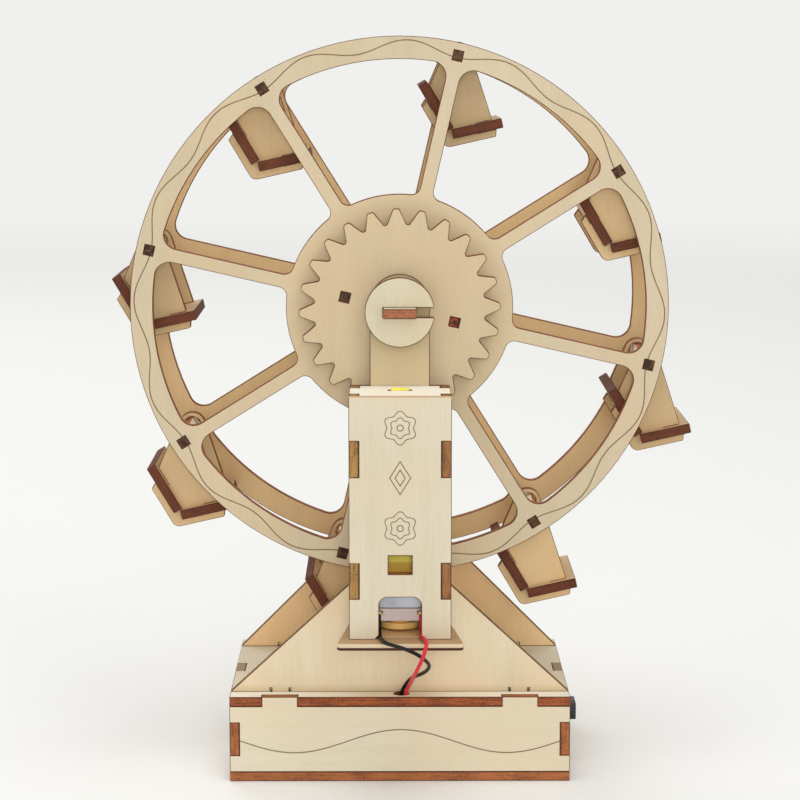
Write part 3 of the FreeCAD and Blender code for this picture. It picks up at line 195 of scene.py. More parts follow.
class Signal:
    """A value or vector in a material. Arithmetic on it adds the nodes that work it out."""

    def __init__(self, finish, socket):
        self.finish = finish
        self.socket = socket

    def maths(self, operation, *others):
        """The result of a Math node on this value and the others."""
        values = dict(enumerate((self, *others)))
        return self.finish.add("ShaderNodeMath", {"operation": operation}, values)

    def __add__(self, other):
        return self.maths("ADD", other)

    def __sub__(self, other):
        return self.maths("SUBTRACT", other)

    def __mul__(self, other):
        return self.maths("MULTIPLY", other)

    def __truediv__(self, other):
        return self.maths("DIVIDE", other)

    __radd__ = __add__
    __rmul__ = __mul__

    def __rsub__(self, other):
        return self * -1 + other

    def __abs__(self):
        return self.maths("ABSOLUTE")

    def cosine(self):
        return self.maths("COSINE")

    def over(self, limit):
        """1 above a limit and 0 below it."""
        return self.maths("GREATER_THAN", limit)

    def between(self, low, high):
        """The value, held between two limits."""
        return self.maths("MINIMUM", high).maths("MAXIMUM", low)

    def rise(self, low, high):
        """0 below low and 1 above high, with a smooth step between them."""
        return self.finish.add(
            "ShaderNodeMapRange", {"interpolation_type": "SMOOTHSTEP"},
            {"Value": self, "From Min": low, "From Max": high})

    def line(self, half_width, softness=0.05):
        """1 where the value is near 0, as on an engraved line, and 0 away from it."""
        return 1 - abs(self).rise(half_width - softness, half_width + softness)

    def along(self, direction):
        """How far a vector reaches along a direction."""
        return self.finish.add(
            "ShaderNodeVectorMath", {"operation": "DOT_PRODUCT"}, {0: self, 1: direction}, 1)

    def facing(self, direction, limit=0.9):
        """1 where a normal points along a direction, and 0 where it doesn't."""
        return self.along(direction).over(limit)

    def stretched(self, scale):
        """A vector whose three parts are each multiplied by their own number."""
        return self.finish.add(
            "ShaderNodeVectorMath", {"operation": "MULTIPLY"}, {0: self, 1: scale})


class Finish:
    """A material of one Principled shader, built up node by node."""

    def __init__(self, name):
        self.material = bpy.data.materials.new(name)
        self.material.use_nodes = True
        tree = self.material.node_tree
        self.nodes = tree.nodes
        self.links = tree.links
        self.shader = next(node for node in tree.nodes if node.type == "BSDF_PRINCIPLED")
        coordinates = self.nodes.new("ShaderNodeTexCoord")
        self.normal = Signal(self, coordinates.outputs["Normal"])
        metres = Signal(self, coordinates.outputs["Object"])
        self.place = metres.stretched((1 / MM, 1 / MM, 1 / MM))
        parts = self.nodes.new("ShaderNodeSeparateXYZ")
        self.feed(parts.inputs[0], self.place)
        self.x, self.y, self.z = [Signal(self, socket) for socket in parts.outputs]

    def feed(self, socket, value):
        """Links a signal to a socket, or sets the socket to a plain value."""
        if isinstance(value, Signal):
            self.links.new(value.socket, socket)
        else:
            socket.default_value = value

    def add(self, kind, settings, inputs, output=0):
        """Adds one node with its settings and its inputs, and gives one of its outputs."""
        node = self.nodes.new(kind)
        for name, value in settings.items():
            setattr(node, name, value)
        for name, value in inputs.items():
            self.feed(node.inputs[name], value)
        return Signal(self, node.outputs[output])

    def mix(self, first, second, share):
        """A colour that goes from the first to the second as the share rises."""
        return self.add("ShaderNodeMix", {"data_type": "RGBA"}, {0: share, 6: first, 7: second}, 2)

    def noise(self, scale, vector=None, detail=2.0):
        """Soft spots from 0 to 1, with about this many to a millimetre."""
        return self.add("ShaderNodeTexNoise", {"noise_dimensions": "3D"},
                        {"Vector": vector or self.place, "Scale": scale, "Detail": detail})

    def base_colour(self):
        """The colour that the shader gets now."""
        return Signal(self, self.shader.inputs["Base Color"].links[0].from_socket)

    def bump(self, height, millimetres):
        """Raises the surface by a height from 0 to 1, where 1 is this many millimetres."""
        normal = self.add("ShaderNodeBump", {},
                          {"Height": height, "Distance": millimetres * MM, "Strength": 1.0})
        self.feed(self.shader.inputs["Normal"], normal)

    def set(self, **values):
        """Sets sockets of the shader, named in lower case with underscores for spaces."""
        for name, value in values.items():
            socket = name.replace("_", " ").title().replace("Ior", "IOR")
            self.feed(self.shader.inputs[socket], value)
        return self.material


def kit():
    return bpy.context.scene.ferris_kit


def apart(across, up):
    """The straight distance that two distances at right angles add up to."""
    return (across * across + up * up).maths("SQRT")


def radial(finish):
    """The direction straight out from the wheel's axis."""
    outward = finish.add("ShaderNodeVectorMath", {"operation": "SUBTRACT"},
                         {0: finish.place, 1: AXLE})
    flat = outward.stretched((1, 0, 1))
    return finish.add("ShaderNodeVectorMath", {"operation": "NORMALIZE"}, {0: flat})


def tinted(tone, shares):
    """A colour with each of its three parts multiplied by a share."""
    return tuple(min(part * share, 1.0) for part, share in zip(tone, shares)) + (1.0,)


def squeezed(finish, direction, share):
    """The place with its parts along a direction shortened, so that spots turn into streaks."""
    return finish.place.stretched([1 - share * abs(part) for part in direction])


def wood_face(finish, tone, grain):
    """Light sheet wood, with soft bands, fine fibres, short dark pores and a faint blush.

    Gives its colour, and its fibres for the relief.
    """
    fibres = finish.noise(2.4, squeezed(finish, grain, 0.95))
    bands = finish.noise(0.16, squeezed(finish, grain, 0.96), 3.0).rise(0.3, 0.75)
    pores = finish.noise(3.4, squeezed(finish, grain, 0.86), 1.0).rise(0.64, 0.74)
    drift = finish.noise(0.021).rise(0.35, 0.7)
    blush = finish.noise(0.034, detail=1.0).rise(0.42, 0.62)
    pale = tinted(tone, (1.04, 1.04, 1.05))
    deep = tinted(tone, (0.88, 0.84, 0.76))
    pink = tinted(tone, (1.03, 0.93, 0.86))
    dark = tinted(tone, (0.74, 0.66, 0.54))
    colour = finish.mix(pale, deep, bands * 0.3 + fibres.rise(0.25, 0.8) * 0.3 + drift * 0.25)
    colour = finish.mix(colour, pink, blush * 0.5)
    return finish.mix(colour, dark, pores * 0.25), fibres


def burnt_edge(finish, burnt, sheet, depth, dark):
    """A laser-cut edge, with streaks that run with the plies, darkest near the two faces.

    Gives its colour, and its streaks for the relief.
    """
    squeeze = 0.1
    across = finish.add("ShaderNodeVectorMath", {"operation": "SCALE"},
                        {0: sheet, "Scale": finish.place.along(sheet) * (1 - squeeze)})
    plies = finish.add("ShaderNodeVectorMath", {"operation": "ADD"},
                       {0: finish.place.stretched([squeeze] * 3), 1: across})
    streaks = finish.noise(1.3, plies, 3.0)
    clouds = finish.noise(0.17, detail=3.0).rise(0.35, 0.7)
    specks = finish.noise(1.5, detail=3.0).rise(0.42, 0.68)
    flecks = finish.noise(1.9, plies, 3.0).rise(0.54, 0.72)
    deep = kit().wood.burnt_deep
    fresh = tinted(burnt, (1.5, 1.6, 1.6))
    burn = streaks.rise(0.3, 0.68) * 0.4 + clouds * 0.35 + specks * 0.4 - 0.22 + dark
    colour = finish.mix(burnt, deep, burn.between(0.0, 1.0))
    colour = finish.mix(colour, fresh, flecks * (0.4 - 0.3 * dark))
    if depth is None:
        return colour, streaks
    border = abs(depth).rise(0.95, 1.42) * 0.8
    glue = (abs(depth) - PLY / 6).line(0.06) * 0.25
    return finish.mix(colour, deep, border.maths("MAXIMUM", glue)), streaks


def plywood(name, tone, sheet, grain, depth=None, engraving=None, dark=0.0, shade=None,
            burnt=None, edge_shade=None):
    """Laser-cut plywood. Its two faces are light wood, and the rest is burnt.

    Sheet is the direction of its thickness, or a function that gives it, and grain is that of
    its fibres. Depth gives the distance from the sheet's middle, and engraving gives 1 on an
    engraved line. Dark is how much darker the burn is than usual. Shade and edge_shade change
    the colour of the faces and of the edges.
    """
    colours = kit().wood
    finish = Finish(name)
    if callable(sheet):
        sheet = sheet(finish)
    face = abs(finish.normal.along(sheet)).over(0.92)
    wood, fibres = wood_face(finish, tone, grain)
    if shade:
        wood = shade(finish, wood)
    height = fibres * 0.4
    if engraving:
        mark = engraving(finish)
        wood = finish.mix(wood, colours.engraved, mark * 0.9)
        height = height - mark
    middle = depth(finish) if depth else None
    edge, streaks = burnt_edge(finish, burnt or colours.burnt, sheet, middle, dark)
    if edge_shade:
        edge = edge_shade(finish, edge)
    height = height * face + streaks * (1 - face) * 1.2
    finish.bump(height, 0.035)
    return finish.set(base_color=finish.mix(edge, wood, face),
                      roughness=0.78 - face * 0.18 + fibres * 0.08,
                      specular_ior_level=0.35)


def dress(node, material, chamfer=None):
    """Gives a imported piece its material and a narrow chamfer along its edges.

    Its loose triangles are first joined, and those of one flat made one face.
    """
    piece = frame["nodes"][node]
    piece.data.materials.clear()
    piece.data.materials.append(material)
    piece.modifiers.new("Weld", "WELD").merge_threshold = 0.002 * MM
    flats = piece.modifiers.new("Whole flats", "DECIMATE")
    flats.decimate_type = "DISSOLVE"
    flats.angle_limit = radians(0.3)
    bevel = piece.modifiers.new("Chamfer", "BEVEL")
    bevel.width = kit().sizes.char if chamfer is None else chamfer * MM
    bevel.segments = 1
    bevel.limit_method = "ANGLE"
    bevel.angle_limit = radians(30)
    bevel.use_clamp_overlap = False
    bevel.harden_normals = False


def middle_of(node, axis):
    """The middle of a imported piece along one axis, in millimetres."""
    low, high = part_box(node)
    return (low[axis] + high[axis]) / 2 / MM


def dress_sheet(node, tone, sheet, grain, **options):
    """Finishes a piece that is one flat board, whose thickness runs along one direction."""
    low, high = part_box(node)
    middle = ((low + high) / 2 / MM).dot(Vector(sheet))
    dress(node, plywood(node, tone, sheet, grain,
                        depth=lambda finish: finish.place.along(sheet) - middle, **options))


def pick(piece):
    """Selects one object alone and makes it the active one."""
    bpy.ops.object.select_all(action="DESELECT")
    bpy.context.view_layer.objects.active = piece
    piece.select_set(True)


@contextmanager
def editing(piece):
    """Edit mode on one piece."""
    pick(piece)
    bpy.ops.object.mode_set(mode="EDIT")
    yield
    bpy.ops.object.mode_set(mode="OBJECT")


def select(kind, parts, test):
    """Selects the faces or edges of the piece being edited that pass a test, and nothing else."""
    bpy.ops.mesh.select_mode(type=kind)
    bpy.ops.mesh.select_all(action="DESELECT")
    mesh = bpy.context.object.data
    found = [part for part in getattr(bmesh.from_edit_mesh(mesh), parts) if test(part)]
    if not found:
        raise RuntimeError(f"none of the {parts} of {mesh.name} passes the test")
    for part in found:
        part.select_set(True)
    bmesh.update_edit_mesh(mesh)


def select_faces(test):
    """Selects the faces whose normal passes a test."""
    select("FACE", "faces", lambda face: test(face.normal))


def select_edges(test):
    """Selects the edges whose two ends, in millimetres, pass a test."""
    select("EDGE", "edges", lambda edge: test(*[end.co / MM for end in edge.verts]))


def open_through(direction, wall):
    """Opens the piece being edited from end to end, with a wall of this thickness left."""
    select_faces(lambda normal: abs(normal.dot(Vector(direction))) > 0.9)
    bpy.ops.mesh.inset(thickness=wall * MM)
    bpy.ops.mesh.bridge_edge_loops()
    bpy.ops.mesh.select_all(action="SELECT")
    bpy.ops.mesh.normals_make_consistent(inside=False)


def name_new(name):
    """Names the piece just added and puts its place into its mesh."""
    piece = bpy.context.object
    piece.name = name
    piece.data.name = name
    bpy.ops.object.transform_apply(location=True, rotation=True, scale=True)
    return piece


def block(name, low, high):
    """A box between two corners in millimetres, to be shaped further."""
    bpy.ops.object.select_all(action="DESELECT")
    low, high = Vector(low) * MM, Vector(high) * MM
    bpy.ops.mesh.primitive_cube_add(size=1, location=(low + high) / 2, scale=high - low)
    return name_new(name)


def disc(name, radius, height, middle):
    """An upright round bar about a point in millimetres, to be shaped further."""
    bpy.ops.object.select_all(action="DESELECT")
    bpy.ops.mesh.primitive_cylinder_add(vertices=48, radius=radius * MM, depth=height * MM,
                                        location=Vector(middle) * MM)
    return name_new(name)


def ball(name, radius, middle, scale):
    """A flattened ball about a point in millimetres, to be shaped further."""
    bpy.ops.object.select_all(action="DESELECT")
    bpy.ops.mesh.primitive_uv_sphere_add(segments=24, ring_count=12, radius=radius * MM,
                                         location=Vector(middle) * MM, scale=scale)
    return name_new(name)


def join(name, pieces):
    """Makes one piece of several."""
    bpy.ops.object.select_all(action="DESELECT")
    for piece in pieces:
        piece.select_set(True)
    bpy.context.view_layer.objects.active = pieces[0]
    bpy.ops.object.join()
    pieces[0].name = name
    pieces[0].data.name = name
    return pieces[0]


def complete(piece, material, body, replaced=()):
    """Smooths a new piece, gives it its material and lets it ride on its body."""
    pick(piece)
    if piece.type == "MESH":
        bpy.ops.object.shade_smooth_by_angle(angle=radians(35))
    piece.data.materials.clear()
    piece.data.materials.append(material)
    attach(piece, body)
    if replaced:
        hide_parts(*replaced)


# Points that shape the wires' curves, from the motor or the holder to the other end.
RED_ROUTE = [
    (6.3, -49.433, 55.55), (6.3, -49.433, 52.25), (6.15, -51.733, 49.9), (6.2, -56.4, 50.0),
    (7.4, -61.4, 50.5), (7.9, -66.6, 50.1), (6.6, -69.5, 46.6), (4.8, -67.6, 42.3),
    (3.9, -61.0, 38.7), (3.5, -52.8, 35.7), (3.2, -45.0, 32.9), (2.7, -38.2, 30.4),
    (1.5, -34.2, 25.6), (2.4, -33.2, 17.4), (6.4, -29.6, 11.2), (15.0, -25.4, 9.2),
    (25.0, -20.8, 10.6), (32.0, -16.2, 15.0), (36.6, -14.85, 16.6), (41.0, -14.85, 16.6),
]
BLACK_ROUTE = [
    (-6.3, -49.433, 55.55), (-6.3, -49.433, 52.25), (-6.15, -51.733, 49.9),
    (-5.9, -56.4, 49.9), (-5.5, -60.6, 50.1), (-4.2, -64.2, 49.8), (0.2, -65.7, 49.0),
    (4.6, -65.0, 47.0), (7.4, -61.6, 44.2), (9.0, -55.8, 41.0), (8.0, -49.2, 37.6),
    (5.8, -42.6, 34.8), (3.4, -36.6, 32.4), (1.0, -33.3, 28.4), (-0.5, -32.8, 23.6),
    (-2.3, -30.4, 16.2), (-8.4, -24.4, 10.6), (-16.0, -17.0, 8.2), (-22.0, -10.6, 8.2),
    (-24.0, -4.6, 9.0), (-24.0, 0.5, 9.0),
]
SWITCH_ROUTE = [
    (8.0, 0.5, 9.0), (8.0, -4.6, 9.0), (13.0, -9.6, 8.2), (21.4, -12.6, 9.2),
    (30.0, -12.4, 13.0), (36.4, -11.15, 16.6), (41.0, -11.15, 16.6),
]


def insulation(name, colour):
    """Soft wire insulation with a dull shine, a little scuffed."""
    finish = Finish(name)
    scuffs = finish.noise(1.1, detail=3.0)
    dusty = tuple(part * 0.85 + 0.01 for part in colour[:3]) + (1.0,)
    finish.bump(finish.noise(5.0), 0.01)
    return finish.set(base_color=finish.mix(colour, dusty, scuffs.rise(0.35, 0.75)),
                      roughness=0.36 + scuffs * 0.2, specular_ior_level=0.22)


class FERRIS_OT_wires(bpy.types.Operator):
    """Makes the three wires between motor, battery holder and switch"""
    bl_idname = "ferris.wires"
    bl_label = "Wires"

    def execute(self, context):
        colours = kit().motor
        red = insulation("red_insulation", colours.red)
        black = insulation("black_insulation", colours.black)
        for name, node, route, length, material, slot in (
                ("motor_wire_red", "wire_red", RED_ROUTE, 123.7, red, "red_insulation"),
                ("motor_wire_black", "wire_black", BLACK_ROUTE, 118.9, black,
                 "black_insulation"),
                ("battery_wire_red", "wire_switch", SWITCH_ROUTE, 42.0, red, "red_insulation")):
            self.lay(name, node, route, length, material, slot)
        return {"FINISHED"}

    def lay(self, name, node, route, length, material, slot):
        """One wire on a smooth curve along its route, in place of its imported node."""
        diameter = kit().sizes.wire
        line = bpy.data.curves.new(name, "CURVE")
        line.dimensions = "3D"
        line.bevel_depth = diameter / 2
        line.bevel_resolution = 5
        line.resolution_u = 10
        line.use_fill_caps = True
        spline = line.splines.new("NURBS")
        spline.points.add(len(route) - 1)
        for point, place in zip(spline.points, route):
            point.co = (*(Vector(place) * MM), 1)
        spline.order_u = 3
        spline.use_endpoint_u = True
        wire = bpy.data.objects.new(name, line)
        bpy.context.scene.collection.objects.link(wire)
        complete(wire, material, "stand", [node])


def base_wave(finish):
    """The long wave engraved on the base's front wall."""
    sizes = kit().sizes
    span = 65.6
    crest = 0.3
    level = 12.7
    reach = 49.45
    line = level + sizes.base_wave / MM * ((finish.x - crest) * (2 * pi / span)).cosine()
    mark = (finish.z - line).line(sizes.line / MM / 2)
    inside = 1 - abs(finish.x).over(reach)
    return mark * inside * finish.normal.facing(FRONT)


class FERRIS_OT_base(bpy.types.Operator):
    """Finishes the six boards of the base box"""
    bl_idname = "ferris.base"
    bl_label = "Base box"

    def execute(self, context):
        colours = kit().wood
        tone = colours.base
        frame_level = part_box("front_frame")[0].y / MM

        # The upward-facing ends of the side walls' tabs, in the lid, are turned grey-brown.
        def grey_top_ends(finish, edge):
            return finish.mix(edge, colours.grey_top_end, finish.normal.facing(UP))

        # Painted light: the lid's strip in front of the frame is painted paler, towards the roof's
        # colour.
        def painted_light_front(finish, wood):
            lit_strip = finish.y.rise(frame_level + 1, frame_level)
            return finish.mix(wood, colours.lit_roof, lit_strip * 0.55)

        dress_sheet("base_front", tone, FRONT, RIGHT, engraving=base_wave)
        dress_sheet("base_rear", tone, FRONT, RIGHT)
        dress_sheet("base_left", tone, RIGHT, FRONT, edge_shade=grey_top_ends)
        dress_sheet("base_right", tone, RIGHT, FRONT, edge_shade=grey_top_ends)
        dress_sheet("base_bottom", tone, UP, RIGHT, dark=-0.12)
        dress_sheet("base_top", tone, UP, RIGHT, dark=0.08, shade=painted_light_front,
                    burnt=colours.lid_edge)
        return {"FINISHED"}


class FERRIS_OT_frames(bpy.types.Operator):
    """Finishes the two frames that carry the axle"""
    bl_idname = "ferris.frames"
    bl_label = "Frames"

    def execute(self, context):
        colours = kit().wood
        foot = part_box("base_top")[1].z / MM

        # Painted shade: the front frame darkens towards its head, in the shade of the cap and
        # axle, and a painted shadow darkens its foot just above the lid.
        def painted_frame_shade(finish, wood):
            head = finish.z.rise(70, 150) * 0.85
            corner = finish.z.rise(foot + PLY, foot) * 0.5
            return finish.mix(finish.mix(wood, colours.frame_shade, head),
                              colours.frame_shade, corner)

        dress_sheet("front_frame", colours.frame_low, FRONT, UP, shade=painted_frame_shade,
                    burnt=colours.scorched)
        dress_sheet("rear_frame", colours.rear_frame, FRONT, UP, burnt=colours.scorched)
        return {"FINISHED"}


def rosette(finish, level, radius, depth, half_line):
    """The outline of a scalloped flower with six petals."""
    petals = 6
    up = finish.z - level
    angle = finish.x.maths("ARCTAN2", up)
    rim = radius * (1 + (angle * petals).cosine() * depth)
    return (apart(finish.x, up) - rim).line(half_line)


def lozenge(finish, level, half_width, half_height, half_line):
    """The outline of a standing lozenge."""
    away = abs(finish.x) / half_width + abs(finish.z - level) / half_height - 1
    slope = half_width * half_height / sqrt(half_width ** 2 + half_height ** 2)
    return (away * slope).line(half_line)


def tower_marks(finish):
    """Two rosettes and a lozenge, engraved one below the other on the tower's front."""
    radius = kit().sizes.rosette / MM
    half_line = kit().sizes.line / MM / 2 * 0.85
    middle = 98.2
    marks = [lozenge(finish, middle, half_width, half_height, half_line)
             for half_width, half_height in ((3.1, 5.0), (1.5, 2.42))]
    for level in (middle + 15.0, middle - 15.2):
        for share, depth in ((1, 0.12), (0.62, 0.12), (0.2, 0)):
            marks.append(rosette(finish, level, radius * share, depth, half_line))
    mark = marks[0]
    for other in marks[1:]:
        mark = mark.maths("MAXIMUM", other)
    return mark * finish.normal.facing(FRONT)


class FERRIS_OT_tower(bpy.types.Operator):
    """Finishes the five boards of the motor tower"""
    bl_idname = "ferris.tower"
    bl_label = "Motor tower"

    def execute(self, context):
        colours = kit().wood
        rim = kit().sizes.char / MM
        roof_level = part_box("tower_front")[1].z / MM
        below_middle = 0.1
        seam = middle_of("tower_shelf", 2) - below_middle

        def pale_top(finish, edge):
            top = finish.z.rise(roof_level - 2 * rim, roof_level - rim)
            return finish.mix(edge, colours.tower_edge, top)

        # Painted highlight: the upper half of the shelf's front edge is painted pale, and its
        # lower half deep burnt.
        def painted_highlight_lip(finish, edge):
            highlight = finish.z.rise(seam - 0.15, seam + 0.15)
            return finish.mix(colours.burnt_deep, colours.lip_highlight, highlight)

        # Painted light: the shelf is painted paler inside the tower, between its sides and behind
        # its front, where light falls in.
        def painted_light_inside(finish, wood):
            behind_front = finish.y.rise(-55, -53)
            between_sides = 1 - abs(finish.x).rise(11, 12.5)
            return finish.mix(wood, colours.shelf_inside_light, behind_front * between_sides)

        dress_sheet("tower_front", colours.tower, FRONT, UP, engraving=tower_marks,
                    edge_shade=pale_top)
        dress_sheet("tower_left", colours.tower, RIGHT, UP, burnt=colours.golden, dark=-0.1)
        dress_sheet("tower_right", colours.tower, RIGHT, UP, burnt=colours.tan, dark=-0.05)
        # The roof gets the paler, lit copy of the wood as painted light from above.
        dress_sheet("tower_top", colours.lit_roof, UP, RIGHT)
        dress_sheet("tower_shelf", colours.shelf, UP, RIGHT, edge_shade=painted_highlight_lip,
                    shade=painted_light_inside)
        return {"FINISHED"}


def ring_wave(finish):
    """A wavy line round a ring, on both of its faces."""
    sizes = kit().sizes
    middle = 80.04
    waves = 16
    up = finish.z - AXLE.z
    angle = finish.x.maths("ARCTAN2", up) - WHEEL_TURN
    line = middle - (angle * waves).cosine() * (sizes.wave / MM)
    return (apart(finish.x, up) - line).line(sizes.line / MM / 2)


def front_wave(finish):
    """The wavy line on the outer face of the front ring."""
    return ring_wave(finish) * finish.normal.facing(FRONT)


def rear_wave(finish):
    """The wavy line on the outer face of the rear ring."""
    return ring_wave(finish) * finish.normal.facing(BACK)


class FERRIS_OT_wheel(bpy.types.Operator):
    """Finishes the rings, the gears, the crossbars and the axle"""
    bl_idname = "ferris.wheel"
    bl_label = "Wheel"

    def execute(self, context):
        colours = kit().wood
        cap_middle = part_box("axle_caps")[1].y / MM - PLY / 2

        # Painted shade: the front ring's face turns to a warmer, shaded tone near its hub, behind
        # the gear.
        def painted_hub_shade(finish, wood):
            distance = apart(finish.x, finish.z - AXLE.z)
            return finish.mix(colours.hub_shade, wood, distance.rise(30, 52))

        def scorched(finish, edge):
            at_end = abs(finish.normal.along(FRONT)).over(0.5)
            patches = finish.noise(0.75, detail=2.0).rise(0.44, 0.56)
            plain = finish.mix(colours.burnt, edge, at_end)
            return finish.mix(plain, colours.soot, patches * at_end * 0.85)

        def scorched_pegs(finish, edge):
            right = finish.x.rise(-5, 5)
            return scorched(finish, finish.mix(edge, colours.red_peg, right * 0.7))

        dress_sheet("front_wheel", colours.ring, FRONT, UP, engraving=front_wave,
                    shade=painted_hub_shade)
        dress_sheet("rear_wheel", colours.rear_ring, FRONT, UP, engraving=rear_wave)
        dress_sheet("wheel_gear", colours.gear, FRONT, UP)
        dress_sheet("drive_pinion", colours.gear, FRONT, UP)
        dress_sheet("axle", colours.cap, UP, FRONT, burnt=colours.axle_end, dark=-0.15)
        dress("axle_caps", plywood("axle_caps", colours.cap, FRONT, UP, burnt=colours.scorched,
                                   depth=lambda finish: abs(finish.y) - cap_middle))
        peg_sheet = (cos(WHEEL_TURN), 0, -sin(WHEEL_TURN))
        # The pegs and crossbars get the paler, lit copy of the wood as painted light.
        dress("gear_pegs", plywood("gear_pegs", colours.bar, peg_sheet, FRONT, dark=0.1,
                                   burnt=colours.charred, edge_shade=scorched_pegs))
        dress("crossbars", plywood("crossbars", colours.bar, radial, FRONT, dark=0.1,
                                   burnt=colours.charred, edge_shade=scorched))
        return {"FINISHED"}


class FERRIS_OT_gondolas(bpy.types.Operator):
    """Finishes the sides, seat and back of each gondola"""
    bl_idname = "ferris.gondolas"
    bl_label = "Gondolas"

    def execute(self, context):
        colours = kit().wood
        for number, lightness in enumerate(GONDOLA_LIGHTNESS, 1):
            tone = tinted(colours.gondola, [lightness] * 3)
            self.sides(f"gondola_{number}_sides", tone)
            for part, lean in (("seat", SEAT_LEAN), ("back", BACK_LEAN)):
                dress_sheet(f"gondola_{number}_{part}", tone, (sin(lean), 0, cos(lean)), FRONT,
                            dark=0.15, burnt=colours.chocolate)
        return {"FINISHED"}

    def sides(self, node, tone):
        """The two sides of a gondola, in front of the axle's middle and behind it."""
        low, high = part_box(node)
        reach = (high.y - low.y) / 2 / MM - PLY / 2
        dress(node, plywood(node, tone, FRONT, UP, dark=0.05,
                            depth=lambda finish: abs(finish.y - AXLE.y) - reach))


def moulded(name, colour, roughness=0.42, relief=0.02):
    """Moulded plastic, with a fine grain and faint flow marks."""
    finish = Finish(name)
    flow = finish.noise(0.12, finish.place.stretched((1, 1, 0.4)), 3.0)
    grain = finish.noise(3.0)
    deeper = tinted(colour, [0.86] * 3)
    finish.bump(grain, relief)
    finish.set(base_color=finish.mix(colour, deeper, flow.rise(0.3, 0.72)),
               roughness=roughness + grain * 0.12)
    return finish


def drawn_metal(name, colour, roughness=0.3):
    """Drawn sheet metal, with fine lines along its length and dull stains."""
    finish = Finish(name)
    lines = finish.noise(2.2, finish.place.stretched((1, 1, 0.05)))
    stains = finish.noise(0.15, detail=3.0)
    dull = tinted(colour, [0.78] * 3)
    finish.bump(lines, 0.008)
    return finish.set(base_color=finish.mix(colour, dull, stains.rise(0.35, 0.7)),
                      metallic=1.0, roughness=roughness + lines * 0.18)


class FERRIS_OT_motor(bpy.types.Operator):
    """Finishes the gear motor and makes its collar and soldered terminals"""
    bl_idname = "ferris.motor"
    bl_label = "Gear motor"

    def execute(self, context):
        colours = kit().motor
        yellow = self.gearbox_plastic(colours)
        dress("gearbox_front", yellow, chamfer=0.3)
        dress("gearbox_rear", yellow, chamfer=0.3)
        dress("motor_can", drawn_metal("motor_steel", colours.can), chamfer=0.4)
        dress("motor_end_cap", self.end_plastic(colours), chamfer=0.25)
        nylon = moulded("shaft_plastic", colours.shaft, roughness=0.4).material
        dress("output_shaft", nylon, chamfer=0.2)
        clear = moulded("strap_plastic", colours.strap, roughness=0.2)
        dress("motor_strap", clear.set(transmission_weight=0.7), chamfer=0.2)
        self.collar(moulded("bearing_collar", colours.boss).material)
        self.tabs(drawn_metal("terminal_brass", colours.brass))
        self.solder_drops(drawn_metal("solder", colours.solder, roughness=0.22))
        return {"FINISHED"}

    def gearbox_plastic(self, colours):
        """Yellow plastic, with painted shade in orange at the gearbox's foot, where the can goes
        in.
        """
        finish = moulded("gearbox_plastic", colours.gearbox, roughness=0.38)
        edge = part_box("gearbox_front")[0].z / MM + 3.3
        foot = finish.z.rise(edge + 0.3, edge - 0.3) * 0.75
        return finish.set(base_color=finish.mix(finish.base_colour(), colours.gearbox_foot_shade, foot))

    def end_plastic(self, colours):
        """The plastic of the motor's end, with its lowest part and the boss below it in the boss's
        orange.
        """
        finish = moulded("motor_end", colours.cap)
        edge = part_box("motor_strap")[0].z / MM + 0.9
        boss = finish.z.rise(edge + 0.05, edge - 0.05)
        return finish.set(base_color=finish.mix(finish.base_colour(), colours.boss, boss))

    def collar(self, material):
        """The round collar under the motor's strap, which goes round its bearing boss."""
        radius = 6.2
        hole = 4.66
        height = 2.0
        rounding = 0.5
        centre = Vector((0, middle_of("motor_end_cap", 1)))
        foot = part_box("motor_strap")[0].z / MM - height
        collar = disc("collar", radius, height, (*centre, foot + height / 2))
        with editing(collar):
            open_through(UP, radius - hole)
            select_edges(lambda *ends: all(
                end.z < foot + NEAR and (end.xy - centre).length > (radius + hole) / 2
                for end in ends))
            bpy.ops.mesh.bevel(offset=rounding * MM, segments=3)
        complete(collar, material, "stand")

    def tabs(self, material):
        """Two brass tabs with round front corners and an eyelet each, for the terminals."""
        low, high = [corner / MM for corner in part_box("motor_terminals")]
        width = 2.4
        rounding = 0.7
        wall = 0.7
        tabs = []
        for start in (low.x, high.x - width):
            tab = block("tab", (start, low.y, low.z), (start + width, high.y, high.z))
            with editing(tab):
                select_edges(lambda one, other: max(one.y, other.y) < low.y + NEAR
                             and abs(one.z - other.z) > NEAR)
                bpy.ops.mesh.bevel(offset=rounding * MM, segments=4)
                open_through(UP, wall)
            tabs.append(tab)
        complete(join("motor_tabs", tabs), material, "stand",
                 ["motor_terminals"])

    def solder_drops(self, material):
        """A drop of solder on each tab, drawn down to where its wire starts."""
        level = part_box("motor_terminals")[1].z / MM
        radius = 0.85
        flattened = (1, 0.85, 0.55)
        drawn_out = 0.7
        taper = 0.7
        tip = 54.6
        drops = []
        for route in (BLACK_ROUTE, RED_ROUTE):
            x, y, _ = route[0]
            drop = ball("drop", radius, (x, y, level), flattened)
            with editing(drop):
                select_faces(lambda normal: normal.z < -0.7)
                bpy.ops.mesh.extrude_region_move(
                    TRANSFORM_OT_translate={"value": (0, 0, -drawn_out * MM)})
                bpy.ops.transform.resize(value=[taper] * 3,
                                         center_override=Vector((x, y, tip)) * MM)
            drops.append(drop)
        complete(join("solder_drops", drops), material, "stand")


